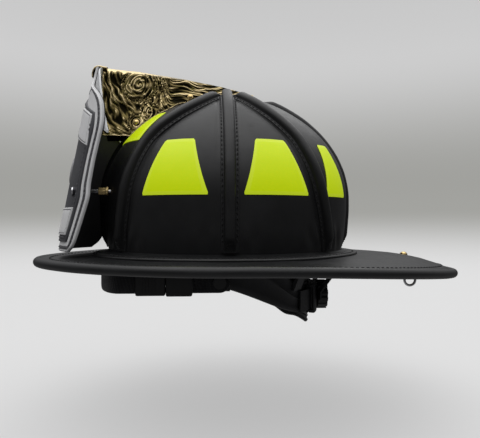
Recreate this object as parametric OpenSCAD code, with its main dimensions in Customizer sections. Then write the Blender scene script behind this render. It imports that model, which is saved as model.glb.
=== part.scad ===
// Traditional leather firefighter helmet.
// Millimetres. +Z is up, -Y is the front, +X is the wearer's left.
// The origin is the centre of the head opening, where the crown meets the brim.
// Bearings are degrees round the crown: 0 front, 90 wearer's left, 180 rear.

/* [Crown] */
// Width of the crown at its waist
crown_w = 196; // [188:1:204]
// Length of the crown at its waist
crown_l = 228; // [220:1:236]
// Height of the crown above the brim
crown_h = 146; // [142:1:150]
// Height of the widest level of the crown
waist_h = 46; // [40:1:50]
// Share of a cone mixed into the dome, which makes it more pointed
peak = 0.08; // [0:0.01:0.15]
// Fraction by which the crown narrows from its waist to its foot
foot_taper = 0.032; // [0:0.002:0.04]
// Thickness of the crown leather
leather_t = 3.5; // [3:0.1:4]
// How far each panel bellies out between its seams
panel_bulge = 2; // [1:0.1:2.5]

/* [Combs] */
// Width of a raised comb at its foot
comb_w = 10; // [8:0.5:11]
// Height of a comb above the leather
comb_h = 6.5; // [5:0.5:7]
// Bearing of the foot of the front diagonal seams
front_seam = 35; // [33:1:37]
// Angle from the rear to the foot of the rear diagonal seams
rear_seam = 40; // [38:1:42]

/* [Brim] */
// Reach of the brim in front of the origin
brim_front = 178; // [175:1:181]
// Reach of the brim behind the origin
brim_rear = 220.5; // [218:0.5:223]
// Half of the brim's width
brim_side = 152; // [149:1:153]
// Thickness of the brim leather
brim_t = 4.5; // [4:0.1:5]
// Diameter of the rolled edge
bead_d = 10; // [9.4:0.1:10.4]
// Height of the rolled edge's centre at the sides
bead_side_z = -7.1; // [-8:0.1:-6.8]
// Drop of the rolled edge at the front tip
front_drop = 2.3; // [1.5:0.1:4]
// Drop of the rolled edge at the rear tip
rear_drop = 14.5; // [13:0.5:16]
// Height of the brim's top where it meets the crown
brim_z = -4; // [-4.2:0.1:-3.8]
// Width of the welt that covers the seam of crown and brim
welt_w = 14.5; // [12:0.5:15]

/* [Crest] */
// Y of the crest's front edge
crest_front = -116.5; // [-116.5:0.1:-116]
// Thickness of the brass
crest_t = 2; // [1.6:0.1:2.4]
// Half of the crest's width at its front foot
crest_foot = 19; // [17:0.5:20]

/* [Shield] */
// Thickness of the shield's base leather
shield_t = 3; // [2.6:0.1:3.2]
// Thickness of each layer sewn on the base
layer_t = 1.1; // [0.9:0.1:1.2]
// Width of the base left showing round the field
shield_border = 9; // [7:0.5:10]
// Sideways distance of the two posts
post_x = 46; // [42:1:48]
// Height of the two posts
post_z = 52; // [50:1:56]

/* [Reflective film] */
// Width of a trapezoid's base
film_base = 57; // [50:1:58]
// Width of a trapezoid's top
film_top = 25; // [22:1:28]
// Thickness of the film
film_t = 0.4; // [0.3:0.1:0.5]

/* [Suspension] */
// Half of the headband's width
band_x = 80; // [79:0.5:80]
// Half of the headband's length
band_y = 90; // [88:0.5:90]
// Thickness of the headband
band_t = 1.6; // [1.4:0.1:1.8]
// Height of the crown straps' crossing
strap_top = 98; // [94:1:98]
// Width of a crown strap
strap_w = 20; // [18:1:22]

/* [Ratchet] */
// Radius of the knob
knob_r = 14; // [12:0.5:14]
// Radius of the knob's shaft
shaft_r = 4; // [3.6:0.1:4]
// Height of the ratchet's axis
ratchet_z = -45; // [-46:0.5:-44]

/* [Chin strap] */
// Sideways distance of the strap's centre line
loop_x = 100; // [99.9:0.1:100.1]
// Width of the webbing
web_w = 16; // [15:0.5:17]
// Thickness of the webbing
web_t = 1.8; // [1.6:0.1:1.8]
// Radius of the pivot pins
pin_r = 2.5; // [2:0.1:2.5]

/* [Hang ring] */
// Radius of the ring's wire
wire_r = 1.2; // [1:0.1:1.2]
// Radius of the ring's round end
ring_r = 5.3; // [5.2:0.1:5.6]
// Distance from the ring's bar to its lowest point
ring_drop = 15; // [13:1:15]

/* [Hidden] */

leather_black = [0.06, 0.06, 0.065];
film_yellow = [0.85, 1.0, 0.0];
brass = [0.72, 0.56, 0.25];
shell_grey = [0.2, 0.2, 0.21];
foam_grey = [0.3, 0.3, 0.32];
white_leather = [0.85, 0.85, 0.86];

// ---- Shared curves -------------------------------------------------------------------

waist_u = 0.28;      // crown rows below this fraction form its upright wall
top_u = 0.985;       // crown rows stop here, a few millimetres from the apex
panel_rows = 16;
panel_cols = 8;
round_n = 36;        // points round the hidden inner shells

function smooth(x) = let(s = min(1, max(0, x))) s * s * (3 - 2 * s);
function mix(a, b, s) = a + (b - a) * s;
function unit(v) = v / norm(v);

// Angle above the waist of a crown row
function rise(u) = 90 * (u - waist_u) / (1 - waist_u);

// Radius of a crown row as a fraction of the radius at the waist
function row_scale(u) = u < waist_u ? 1 - foot_taper * pow(1 - u / waist_u, 2) : cos(rise(u));

// Height of a crown row on the surface that lies depth inside the leather's outside
function row_z(u, depth) = u < waist_u
    ? waist_h * u / waist_u
    : waist_h + (crown_h - waist_h - depth) * ((1 - peak) * sin(rise(u)) + peak * (1 - cos(rise(u))));

// Point of the crown at a bearing and row
function crown_point(a, u, depth = 0, belly = 0) = [
    (crown_w / 2 - depth + belly) * row_scale(u) * sin(a),
    -(crown_l / 2 - depth + belly) * row_scale(u) * cos(a),
    row_z(u, depth)];

// Height of the dome over a plan position, for places above the waist
function dome_z(x, y) = let(
    r = min(1, sqrt(pow(x / (crown_w / 2 + panel_bulge), 2) + pow(y / (crown_l / 2 + panel_bulge), 2))))
    waist_h + (crown_h - waist_h) * ((1 - peak) * sqrt(1 - r * r) + peak * (1 - r));

// Bearings of seams 0 to 8 at a row: the diagonal seams lean towards the sides as they rise
function front_lean(u) = front_seam + 22 * u + 22 * smooth((u - 0.5) / 0.4);
function rear_lean(u) = rear_seam + 27 * u + 12 * smooth((u - 0.5) / 0.4);
function seam(i, u) =
    i == 0 ? 0 :
    i == 1 ? front_lean(u) :
    i == 2 ? 90 :
    i == 3 ? 180 - rear_lean(u) :
    i == 4 ? 180 :
    360 - seam(8 - i, u);

// Point of panel i at fraction f of the way across it
function panel_point(i, f, u, depth) = crown_point(
    mix(seam(i - 1, u), seam(i, u), f), u, depth,
    panel_bulge * pow(sin(180 * f), 2) * sin(180 * min(1, u)));

// Outward normal of the crown at a bearing and row
function crown_normal(a, u) = unit(cross(
    crown_point(a + 1, u) - crown_point(a - 1, u),
    crown_point(a, u + 0.005) - crown_point(a, u - 0.005)));

// Triangles across a ring of n points, paired from both ends of the list towards its middle
function ladder(n) = [for (i = [0:ceil(n / 2) - 2])
    let(a = i, b = i + 1, c = n - 2 - i, d = n - 1 - i)
    each (b == c ? [[a, b, d]] : [[a, b, c], [a, c, d]])];

// Closed solid through rings of equal point count; a looped skin joins its last ring to its first
module skin(rings, looped = false) {
    n = len(rings[0]);
    m = len(rings);
    sides = [for (j = [0:m - (looped ? 1 : 2)], i = [0:n - 1])
        let(i2 = (i + 1) % n, j2 = (j + 1) % m)
        each [[j * n + i, j * n + i2, j2 * n + i2], [j * n + i, j2 * n + i2, j2 * n + i]]];
    first_cap = [for (t = ladder(n)) [t[2], t[1], t[0]]];
    last_cap = [for (t = ladder(n)) [for (i = t) (m - 1) * n + i]];
    polyhedron(
        points = [for (ring = rings) each ring],
        faces = looped ? sides : concat(sides, first_cap, last_cap));
}

function backwards(list) = [for (i = [len(list) - 1:-1:0]) list[i]];

// ---- Crown -----------------------------------------------------------------------------

// One gore of leather from the welt to the apex
module crown_panel(i) {
    color(leather_black)
        skin([for (j = [0:panel_rows]) let(u = top_u * j / panel_rows) concat(
            [for (k = [panel_cols:-1:0]) panel_point(i, k / panel_cols, u, 0)],
            [for (k = [0:panel_cols]) panel_point(i, k / panel_cols, u, leather_t)])]);
}

// First and last panel row of each kind of comb: front, diagonal, side, diagonal, rear
comb_first = 1;
comb_last = [11, 14, 15, 14, 14];
comb_points = 6;
comb_lift = 0.15;

// Rounded comb of leather along seam i, tapered at both ends
module crown_comb(i) {
    last = comb_last[i > 4 ? 8 - i : i];
    color(leather_black)
        skin([for (j = [comb_first:last]) let(
            u = top_u * j / panel_rows,
            a = seam(i, u),
            p = crown_point(a, u),
            out = crown_normal(a, u),
            ahead = unit(crown_point(seam(i, u + 0.01), u + 0.01)
                         - crown_point(seam(i, u - 0.01), u - 0.01)),
            side = unit(cross(out, ahead)),
            end = j == comb_first ? 0.55 : j == last ? 0.4 : 1,
            half = comb_w / 2 * end * mix(1, 0.75, u),
            high = comb_h * end)
            [for (k = [0:comb_points])
                p + out * (comb_lift + high * sin(180 * k / comb_points))
                + side * half * cos(180 * k / comb_points)]]);
}

// ---- Brim -------------------------------------------------------------------------------

brim_n = 64;
brim_steps = [0, 0.12, 0.4, 0.65, 0.82, 0.92, 1];
bead_points = 8;
bead_r = bead_d / 2;

// Outline of the rolled edge's centre
function edge_point(a) = let(c = cos(a), pinch = c > 0 ? 0.20 : 0.12) [
    brim_side * sin(a) * (1 - pinch * c * c) - bead_r * sin(a),
    -(c > 0 ? brim_front - bead_r : brim_rear - bead_r) * c];
function bead_z(a) = let(c = cos(a)) bead_side_z - (c > 0 ? front_drop * c * c : rear_drop * pow(-c, 1.8));

// Outline of the crown's foot, grown outwards
function foot_point(a, grow) = [
    (crown_w / 2 * (1 - foot_taper) + grow) * sin(a),
    -(crown_l / 2 * (1 - foot_taper) + grow) * cos(a)];

// Height of the brim's top at fraction s from the crown to the rolled edge; the rear arches down
function brim_top(a, s) = let(c = min(0, cos(a)))
    brim_z + (bead_z(a) + 1.5 - brim_z) * pow(s, mix(1.1, 3.8, c * c));

function brim_point(a, s, z) = let(p = mix(foot_point(a, -leather_t), edge_point(a), s)) [p[0], p[1], z];

// Direction from the brim to its edge, across the edge
function edge_out(a) = let(d = edge_point(a + 1) - edge_point(a - 1)) unit([d[1], -d[0]]);

// Section of the brim at one bearing: top, rolled edge, underside
function brim_section(a) = concat(
    [for (s = brim_steps) if (s < 1) brim_point(a, s, brim_top(a, s))],
    [for (k = [0:bead_points]) let(
        b = 150 - 300 * k / bead_points,
        e = edge_point(a),
        d = edge_out(a) * bead_r * cos(b))
        [e[0] + d[0], e[1] + d[1], bead_z(a) + bead_r * sin(b)]],
    [for (s = backwards(brim_steps)) if (s < 1) brim_point(a, s, brim_top(a, s) - brim_t)]);

module brim() {
    color(leather_black)
        skin([for (k = [0:brim_n - 1]) brim_section(360 * k / brim_n)], looped = true);
}

// Wire that stiffens the rolled edge
module brim_wire() {
    rod = 1.6;
    sides = 6;
    color(brass)
        skin([for (k = [0:brim_n - 1]) let(a = 360 * k / brim_n, e = edge_point(a))
            [for (q = [0:sides - 1]) let(b = -360 * q / sides, d = edge_out(a) * rod * cos(b))
                [e[0] + d[0], e[1] + d[1], bead_z(a) + rod * sin(b)]]], looped = true);
}

// Leather welt that the crown stands on, laid over the brim
module crown_welt() {
    gap = 0.15;
    function under(a, g) =
        brim_top(a, (g + leather_t) / norm(edge_point(a) - foot_point(a, -leather_t))) + gap;
    color(leather_black)
        skin([for (k = [0:brim_n - 1]) let(a = 360 * k / brim_n,
            p0 = foot_point(a, -leather_t), p1 = foot_point(a, 0.6), p2 = foot_point(a, 3.2),
            p3 = foot_point(a, welt_w - 1), p4 = foot_point(a, welt_w))
            [[p0[0], p0[1], -0.05], [p1[0], p1[1], -0.05], [p2[0], p2[1], -1.1],
             [p3[0], p3[1], under(a, welt_w) + 2], [p4[0], p4[1], under(a, welt_w) + 1],
             [p4[0], p4[1], under(a, welt_w)], [p2[0], p2[1], under(a, 3.2)],
             [p0[0], p0[1], under(a, -leather_t)]]], looped = true);
}

// ---- Reflective film ---------------------------------------------------------------------

film_gap = 0.3;
film_rows = 5;
film_cols = 6;
side_rows = [0.285, 0.515];
front_rows = [0.535, 0.70];

// Arc length of one degree of bearing at a row
function per_degree(a, u) = row_scale(u) * PI / 180
    * norm([crown_w / 2 * cos(a), crown_l / 2 * sin(a)]);

// Where a film's middle lies across panel i, at fraction s of its height. The side ones lean
// along the side comb, and the rear ones lie close to the rear diagonal combs.
function film_middle(i, s) =
    i > 4 ? 1 - film_middle(9 - i, s) :
    i == 2 ? 0.5 + mix(0.03, -0.03, s) :
    i == 3 ? 0.5 - mix(0.03, -0.03, s) :
    i == 4 ? mix(0.27, 0.335, s) : 0.5;

// Trapezoid on panel i, narrower where a panel is narrower
module film(i, rows, size) {
    skin([for (j = [0:film_rows]) let(
        u = mix(rows[0], rows[1], j / film_rows),
        left = seam(i - 1, u),
        right = seam(i, u),
        mid = film_middle(i, j / film_rows),
        half = size * mix(film_base, film_top, j / film_rows) / 2
            / per_degree((left + right) / 2, u) / (right - left))
        concat(
            [for (k = [film_cols:-1:0])
                panel_point(i, mid + half * (2 * k / film_cols - 1), u, -film_gap - film_t)],
            [for (k = [0:film_cols]) panel_point(i, mid + half * (2 * k / film_cols - 1), u, -film_gap)])]);
}

module reflective_trapezoids() {
    color(film_yellow)
        for (i = [1:8]) {
            if (i == 1 || i == 8) film(i, front_rows, 0.8);
            else film(i, side_rows, i == 4 || i == 5 ? 0.52 : 1);
        }
}

// ---- Crest -------------------------------------------------------------------------------

crest_stations = [crest_front, -112, -104, -96, -88, -80, -70, -60, -48, -36, -24, -12, 0, 13, 26];
crest_lowest = 105;
function crest_top(y) =
    lookup(y, [[-126, 172.5], [-116.5, 171.6], [-83, 168.6], [-40, 162.3], [-6, 155.5], [26, 147]]);
function crest_half(y) = lookup(y, [[-118, crest_foot], [-60, crest_foot * 0.68], [-20, 8], [26, 6]]);

// Inverted V of brass that straddles the front comb and sits on the crown
function crest_section(y, in) = let(
    foot = max(crest_lowest, dome_z(crest_half(y), y) + 0.5),
    top = max(foot + 2, crest_top(y) - in * 1.4),
    w = crest_half(y) - in)
    [[w, foot], [mix(w, 3.4, 0.55), mix(foot, top, 0.4)],
     [max(0.8, 4.2 - in), mix(foot, top, 0.94)], [0, top]];

module crest_holder() {
    color(brass) {
        skin([for (y = crest_stations) let(
            shell = crest_section(y, 0),
            hollow = crest_section(y, crest_t))
            concat(
                [for (p = shell) [p[0], y, p[1]]],
                [for (k = [2:-1:0]) [-shell[k][0], y, shell[k][1]]],
                [for (k = [0:2]) [-hollow[k][0], y, hollow[k][1]]],
                [for (p = backwards(hollow)) [p[0], y, p[1]]])]);
        // Lip that hooks over the top of the shield
        lip_w = 16;
        translate([lip_w / 2, 0, 0])
            rotate([90, 0, -90])
            linear_extrude(lip_w)
            polygon([[-crest_front - 0.6, 168.6], [-crest_front - 0.6, 171.2], [121, 172.6], [124.8, 170.6],
                [126.5, 166], [126.7, 161.5], [125.3, 161.5], [125, 165], [123.4, 168.6], [120.4, 170]]);
    }
}

// Domed brass rivets through both flanks
crest_rivet_sites = [[-84, 118], [-34, 143.5], [13, 147]];
module crest_rivets() {
    head_r = 2.6;
    color(brass)
        for (site = crest_rivet_sites, s = [1, -1]) {
            flank = mix(3.4, crest_half(site[0]), (crest_top(site[0]) - site[1]) / (crest_top(site[0])
                - max(crest_lowest, dome_z(crest_half(site[0]), site[0]))));
            translate([s * (flank - 2.5), site[0], site[1]])
                rotate([0, s * 90, 0])
                union() {
                    cylinder(r = 1.4, h = 4, $fn = 24);
                    translate([0, 0, 2.9]) cylinder(r1 = head_r, r2 = head_r * 0.55, h = 1.5, $fn = 32);
                }
        }
}

// ---- Shield ------------------------------------------------------------------------------

shield_rows = 20;
shield_cols = 10;
shield_low = -1;
shield_high = 170;
layer_gap = 0.45;    // between one sewn layer and the next

// Y of the shield's middle line, and the radius it is bent to, at a height
function shield_y(z) = -154 + 32 * z / 155;
function shield_r(z) = lookup(z, [[0, 52], [46, 68], [103, 82], [160, 87]]);

// Half of the shield's width at a height: a broad tongue with shoulders and a narrow neck
function shield_half(z) = lookup(z, [[-1, 40], [2, 46], [8, 50], [23, 56], [46, 64], [57, 63.5], [77, 66],
    [93, 69], [103, 71], [110, 70.5], [116, 69], [123, 66.3], [129, 62], [135, 55], [141, 45], [147, 31],
    [153, 18.5], [160, 14.5], [170, 13]]);

function shield_point(x, z, forward) = [x, shield_y(z) + x * x / (2 * shield_r(z)) - forward, z];

// Bent sheet from back to front distances, with its half width given for each height in zs
module bent_sheet(zs, halves, back, front, cols = shield_cols) {
    skin([for (j = [0:len(zs) - 1]) concat(
        [for (k = [0:cols]) shield_point(halves[j] * (2 * k / cols - 1), zs[j], front)],
        [for (k = [cols:-1:0]) shield_point(halves[j] * (2 * k / cols - 1), zs[j], back)])]);
}

module shield_base() {
    zs = [for (j = [0:shield_rows]) mix(shield_low, shield_high, j / shield_rows)];
    color(white_leather)
        bent_sheet(zs, [for (z = zs) shield_half(z)], 0, shield_t);
}

// Dark field sewn inside the border
field_low = shield_low + shield_border;
field_high = 141;
module shield_field() {
    zs = [for (j = [0:shield_rows - 4]) mix(field_low, field_high, j / (shield_rows - 4))];
    color([0.2, 0.2, 0.22])
        bent_sheet(zs, [for (z = zs) min(shield_half(z) - shield_border, 2.2 * (field_high - z) + 8)],
            shield_t + layer_gap, shield_t + layer_gap + layer_t);
}

// Blank plate across the upper field, its lower edge rising to the middle
module shield_top_panel() {
    x_out = 58;
    cols = 8;
    lift = shield_t + layer_gap + layer_t;
    color(white_leather)
        skin([for (k = [0:cols]) let(
            x = x_out * (2 * k / cols - 1),
            off = abs(x) / x_out,
            low = mix(112, 90, off),
            high = mix(131, 116, off * off))
            [shield_point(x, low, lift + 0.8), shield_point(x, high, lift + 0.8),
             shield_point(x, high, lift + 1.5), shield_point(x, low, lift + 1.5)]]);
}

// Blank plate across the lower field
module shield_bottom_panel() {
    zs = [14, 20, 26, 32, 38];
    lift = shield_t + layer_gap + layer_t;
    color(white_leather)
        bent_sheet(zs, [for (z = zs) shield_half(z) - shield_border - 3],
                   lift + layer_gap, lift + layer_t, 8);
}

// Plain round boss in the middle of the field
module shield_centre_patch() {
    lift = shield_t + layer_gap + layer_t;
    centre_z = 74;
    patch_r = 14;
    sweep = [for (k = [-4:4]) patch_r * sin(90 * k / 4)];
    color([0.7, 0.7, 0.71])
        bent_sheet([for (s = sweep) centre_z + s],
            [for (s = sweep) max(2, sqrt(patch_r * patch_r - s * s))], lift + layer_gap, lift + 2.4, 8);
}

// Stiff plate behind the shield's upper half, held on the front of the crest; its lower edge is arched
module shield_backing_plate() {
    top = [[0, 170], [9, 170], [19, 166], [28, 162], [37, 156], [46, 146], [55, 134], [61, 122], [69, 110],
        [74, 100]];
    xs = [-74, -69, -61, -55, -46, -37, -28, -19, -9, 9, 19, 28, 37, 46, 55, 61, 69, 74];
    color([0.6, 0.6, 0.61])
        skin([for (x = xs) let(
            low = lookup(abs(x), [[0, 118], [46, 114], [60, 107], [74, 98]]),
            high = lookup(abs(x), top))
            [shield_point(x, low, -0.6), shield_point(x, high, -0.6),
             shield_point(x, high, -2.1), shield_point(x, low, -2.1)]]);
}

// Threaded rods that hold the shield off the crown
post_front = shield_point(post_x, post_z, shield_t + 1.6)[1];
module along_y(y0, y1, r, fn = 32) {
    translate([0, y0, 0])
        rotate([-90, 0, 0])
        cylinder(r = r, h = y1 - y0, $fn = fn);
}

module shield_posts() {
    color([0.75, 0.75, 0.76])
        for (s = [1, -1])
            translate([s * post_x, 0, post_z]) {
                along_y(post_front, -96, 1.5, 24);
                along_y(post_front - 1.2, post_front + 0.2, 3.6);
            }
}

// Brass nuts where the rods leave the crown
module shield_post_nuts() {
    nut_af = 6;
    color(brass)
        for (s = [1, -1])
            translate([s * post_x, 0, post_z])
                difference() {
                    union() {
                        along_y(-111.4, -105, nut_af / 2 / cos(30), 6);
                        along_y(-105.1, -103, 3.9);
                    }
                    along_y(-113, -100, 1.55, 24);
                }
}

// ---- Inner shell and suspension ----------------------------------------------------------

// Dome between two depths, from row low up to the top
module dome_shell(outer, inner, low, rows) {
    us = [for (j = [0:rows]) mix(top_u - 0.01, low, j / rows)];
    skin(concat(
        [for (u = us) [for (k = [0:round_n - 1]) crown_point(-360 * k / round_n, u, outer)]],
        [for (u = backwards(us)) [for (k = [0:round_n - 1]) crown_point(-360 * k / round_n, u, inner)]]));
}

module inner_shell() {
    color(shell_grey) dome_shell(leather_t + 0.5, leather_t + 3, 0.03, 8);
}

module impact_liner() {
    color(foam_grey) dome_shell(leather_t + 4.3, 19, 0.37, 7);
}

key_bearing = 44;
key_z = 16;
key_dir = atan2(crown_point(key_bearing, 0.1, 7)[0], -crown_point(key_bearing, 0.1, 7)[1]);
key_reach = norm([for (k = [0:1]) crown_point(key_bearing, 0.1, 7.4)[k]]);
strap_t = 1.6;
strap_reach = key_reach - 4.4;

// Plan angles from +X of the two diagonals' front ends, and of all four corners
front_left = -90 + key_dir;
front_right = -90 - key_dir;
corner_angles = [front_left, front_right, front_left + 180, front_right + 180];

// Half-ring strap over the head along one diagonal
module crown_strap(angle, top) {
    low = key_z - 8;
    turns = 20;
    color(foam_grey)
        rotate(angle)
        skin([for (k = [0:turns]) let(
            b = 180 * k / turns,
            out = [cos(b), 0, sin(b)],
            p = [strap_reach * cos(b), 0, low + (top - low) * sin(b)])
            [for (q = [[1, 0], [-1, 0], [-1, 1], [1, 1]])
                p - out * strap_t * q[1] + [0, q[0] * strap_w / 2, 0]]]);
}

// Moulded sockets on the inner shell that take the strap ends and the headband's tabs
module suspension_keys() {
    color(shell_grey)
        for (a = corner_angles)
            rotate(a)
                translate([strap_reach + 0.2, -12, key_z - 12])
                cube([4, 24, 22]);
}

// Reach of the headband from the ratchet's arc centre, at an angle from the rear
arc_y = 11;
arc_r = 68;
band_cy = -8;
function band_reach(q) = let(
    a = pow(sin(q) / (band_x - band_t), 2) + pow(cos(q) / (band_y - band_t), 2),
    b = 2 * (arc_y - band_cy) * cos(q) / pow(band_y - band_t, 2),
    c = pow((arc_y - band_cy) / (band_y - band_t), 2) - 1)
    mix(arc_r, (-b + sqrt(b * b - 4 * a * c)) / (2 * a), smooth((q - 48) / 30));
function band_low(q) = mix(ratchet_z - 9, -23.5, smooth((q - 38) / 84));
function band_top(q) = mix(ratchet_z + 9, 7.5, smooth((q - 30) / 60));

// Ring of section points of a band at signed angle q from the rear, between two depths inside it
function band_section(q, outer, inner, low, high) = let(r = band_reach(abs(q))) [
    for (p = [[outer, low], [outer, high], [inner, high], [inner, low]])
        [(r + p[0]) * sin(q), arc_y + (r + p[0]) * cos(q), p[1]]];

band_start = 38;
module headband() {
    steps = 44;
    color(shell_grey)
        skin([for (k = [0:steps])
            let(q = mix(band_start, 360 - band_start, k / steps), w = q > 180 ? q - 360 : q)
            band_section(w, band_t, 0, band_low(abs(w)), band_top(abs(w)))]);
}

// Flat hangers from the keys down to the outside of the headband
module band_hangers() {
    hanger_w = 12;
    hanger_t = 1.4;
    color(foam_grey)
        for (a = corner_angles) {
            root = sin(a) > 0 ? [77.4, -34.8] : [90.6, -12];
            hull() {
                rotate(a) translate([strap_reach + 0.6, -hanger_w / 2, key_z - 11])
                    cube([hanger_t, hanger_w, 2.6]);
                rotate(a) translate([root[0], -hanger_w / 2, root[1]]) cube([hanger_t, hanger_w, 6]);
            }
        }
    // Two more hold the ratchet from the rear of the shell, either side of its knob
    color(foam_grey)
        for (x = [-16, 28])
            translate([x, 0, 0])
                rotate([90, 0, -90])
                linear_extrude(12)
                polygon([[-98, 14], [-98, -26], [-87.4, -40], [-87.4, -47], [-86, -47], [-86, -39.6],
                    [-96.6, -25.6], [-96.6, 14]]);
}

module brow_pad() {
    steps = 14;
    color([0.12, 0.12, 0.13])
        skin([for (k = [0:steps]) let(q = mix(132, 228, k / steps), w = q > 180 ? q - 360 : q)
            band_section(w, -0.3, -4.3, -21, 5)]);
}

// ---- Ratchet ------------------------------------------------------------------------------

pinion_teeth = 8;
pinion_r = 6;        // pitch radius
tail_r = [70.6, 72.2];
tail_t = 1.2;
tail_z = 9.5;
tail_end = 42;       // bearing from the rear at which a tail leaves the slot in the headband
tooth_pitch = 2 * PI * pinion_r / pinion_teeth;
tooth_w = 1.9;
tooth_tip = 0.8;
tooth_h = 1.3;
tooth_inset = 0.15;  // the teeth are this much thinner than the band on each face
root_gap = 0.35;     // clearance between a tooth's tip and the other part's root
slot_reach = 19;

// Sector of a ring about the ratchet's arc centre; q0 and q1 are angles from the rear
module arc_block(r0, r1, z0, z1, q0, q1) {
    translate([0, arc_y, 0])
        rotate(90 - q1)
        rotate_extrude(angle = q1 - q0, $fn = 120)
        translate([r0, z0])
        square([r1 - r0, z1 - z0]);
}

// Lower edge of the nape pad at an angle from the rear
function nape_low(q) = lookup(q, [[0, -70], [18, -68], [30, -62.5], [42, -57], [54, -54], [66, -44]]);

module nape_pad() {
    steps = 26;
    color([0.12, 0.12, 0.13])
        skin([for (k = [0:steps]) let(q = mix(-66, 66, k / steps), low = nape_low(abs(q)))
            [for (p = [[67.7, low], [67.7, -26], [62, -26], [62, low]])
                [p[0] * sin(q), arc_y + p[0] * cos(q), p[1]]]]);
}

module ratchet_base() {
    color(shell_grey) arc_block(68.1, 70.2, ratchet_z - 13, ratchet_z + 13, -25, 25);
}

module ratchet_cover() {
    color(shell_grey)
        difference() {
            union() {
                arc_block(73.9, 76, ratchet_z - 13, ratchet_z + 13, -25, 25);
                arc_block(70.3, 74, ratchet_z + 10.2, ratchet_z + 13, -25, 25);
                arc_block(70.3, 74, ratchet_z - 13, ratchet_z - 10.2, -25, 25);
            }
            translate([0, 0, ratchet_z]) along_y(80, 90, shaft_r + 0.05, 48);
        }
}

// Tooth outline, standing on the line y = 0 at its pitch line
module tooth() {
    root_w = tooth_w / 2 + 0.35;
    root = tooth_h + 0.5;
    polygon([[-root_w, -root], [root_w, -root], [root_w, -tooth_h], [tooth_tip / 2, tooth_h],
        [-tooth_tip / 2, tooth_h], [-root_w, -tooth_h]]);
}

module ratchet_pinion() {
    color(shell_grey)
        translate([0, 84.2, ratchet_z])
        rotate([90, 0, 0])
        linear_extrude(2.6) {
            circle(r = pinion_r - tooth_h - 0.1, $fn = 48);
            for (k = [0:pinion_teeth - 1])
                rotate(360 * k / pinion_teeth) translate([0, pinion_r]) tooth();
        }
}

// Fluted knob on its shaft
module ratchet_knob() {
    flutes = 12;
    color([0.1, 0.1, 0.1])
        translate([0, 0, ratchet_z]) {
            along_y(84.3, 88.2, shaft_r, 48);
            difference() {
                along_y(88, 97, knob_r, 64);
                for (k = [0:flutes - 1])
                    rotate([0, 360 * k / flutes, 0])
                        translate([knob_r + 1.2, 0, 0])
                        along_y(87, 98, 2.4, 24);
            }
        }
}

// Toothed tail of the band; up is 1 where the teeth hang from the slot's upper edge, else -1
module band_tail(r0, side, up) {
    r_mid = r0 + tail_t / 2;
    pitch_a = tooth_pitch / r_mid * 180 / PI;
    slot_half = pinion_r + tooth_h + root_gap;
    color([0.14, 0.14, 0.15]) {
        difference() {
            arc_block(r0, r0 + tail_t, ratchet_z - tail_z, ratchet_z + tail_z, side > 0 ? -24 : -tail_end,
                side > 0 ? tail_end : 24);
            arc_block(r0 - 1, r0 + 3, ratchet_z - slot_half, ratchet_z + slot_half, -slot_reach, slot_reach);
        }
        // Half a pitch off the pinion's tooth at rest, so that tooth and gap face each other
        for (k = [-3:2])
            translate([0, arc_y, ratchet_z])
                rotate((k + 0.5) * pitch_a)
                translate([0, r0 + tail_t - tooth_inset, up * pinion_r])
                rotate([90, 0, 0])
                linear_extrude(tail_t - 2 * tooth_inset)
                mirror([0, up > 0 ? 1 : 0, 0])
                tooth();
    }
}

// ---- Ear laps -----------------------------------------------------------------------------

// Curved flap of flannel folded up between the headband and the shell
module ear_lap(side) {
    steps = 12;
    depth = [9.4, 12.4];
    color([0.16, 0.16, 0.17])
        skin([for (k = [0:steps]) let(a = side * mix(58, 118, k / steps), w = crown_w / 2, l = crown_l / 2)
            [for (p = side > 0
                ? [[0, 56], [1, 56], [1, -4], [0, -4]]
                : [[0, -4], [1, -4], [1, 56], [0, 56]])
                [(w - depth[p[0]]) * sin(a), -(l - depth[p[0]]) * cos(a), p[1]]]]);
}

// ---- Chin strap ---------------------------------------------------------------------------

pivot_y = -8;
pivot_z = -21;
bend_y = -84;
bend_l = 27;
strap_start = -66;   // rear end of the long strap, inside the buckle's plug
web_in = loop_x - web_t / 2;
web_out = loop_x + web_t / 2;

// Half of the strap's front bend, from its side to its middle
function bend(x, l) = [for (k = [0:12]) [x * cos(90 * k / 12), bend_y - l * sin(90 * k / 12)]];

// Webbing on edge, given its outline in plan
module webbing(outline) {
    translate([0, 0, pivot_z - web_w / 2])
        linear_extrude(web_w)
        polygon(outline);
}

// Rounded end that turns on the pivot pin
module strap_eye(side) {
    difference() {
        union() {
            translate([side * loop_x - web_t / 2, pivot_y, pivot_z])
                rotate([0, 90, 0])
                cylinder(r = web_w / 2, h = web_t, $fn = 48);
            translate([side * loop_x - web_t / 2, pivot_y - 20, pivot_z - web_w / 2])
                cube([web_t, 20, web_w]);
        }
        translate([side * loop_x - 5, pivot_y, pivot_z])
            rotate([0, 90, 0])
            cylinder(r = pin_r + 0.06, h = 10, $fn = 48);
    }
}

// Short strap on the wearer's left, sewn into the buckle's socket
module chin_strap_left() {
    color([0.1, 0.1, 0.11]) {
        strap_eye(1);
        translate([web_in, pivot_y - 20.9, pivot_z - web_w / 2]) cube([web_t, 1.9, web_w]);
    }
}

// Long strap from the buckle's plug round the front to the wearer's right, stowed under the brim
module chin_strap_right() {
    color([0.1, 0.1, 0.11]) {
        strap_eye(-1);
        webbing(concat(
            [[web_out, strap_start]], bend(web_out, bend_l + web_t / 2),
            backwards([for (p = bend(web_out, bend_l + web_t / 2)) [-p[0], p[1]]]),
            [[-web_out, pivot_y - 19], [-web_in, pivot_y - 19]],
            [for (p = bend(web_in, bend_l - web_t / 2)) [-p[0], p[1]]],
            backwards(bend(web_in, bend_l - web_t / 2)), [[web_in, strap_start]]));
    }
}

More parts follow.
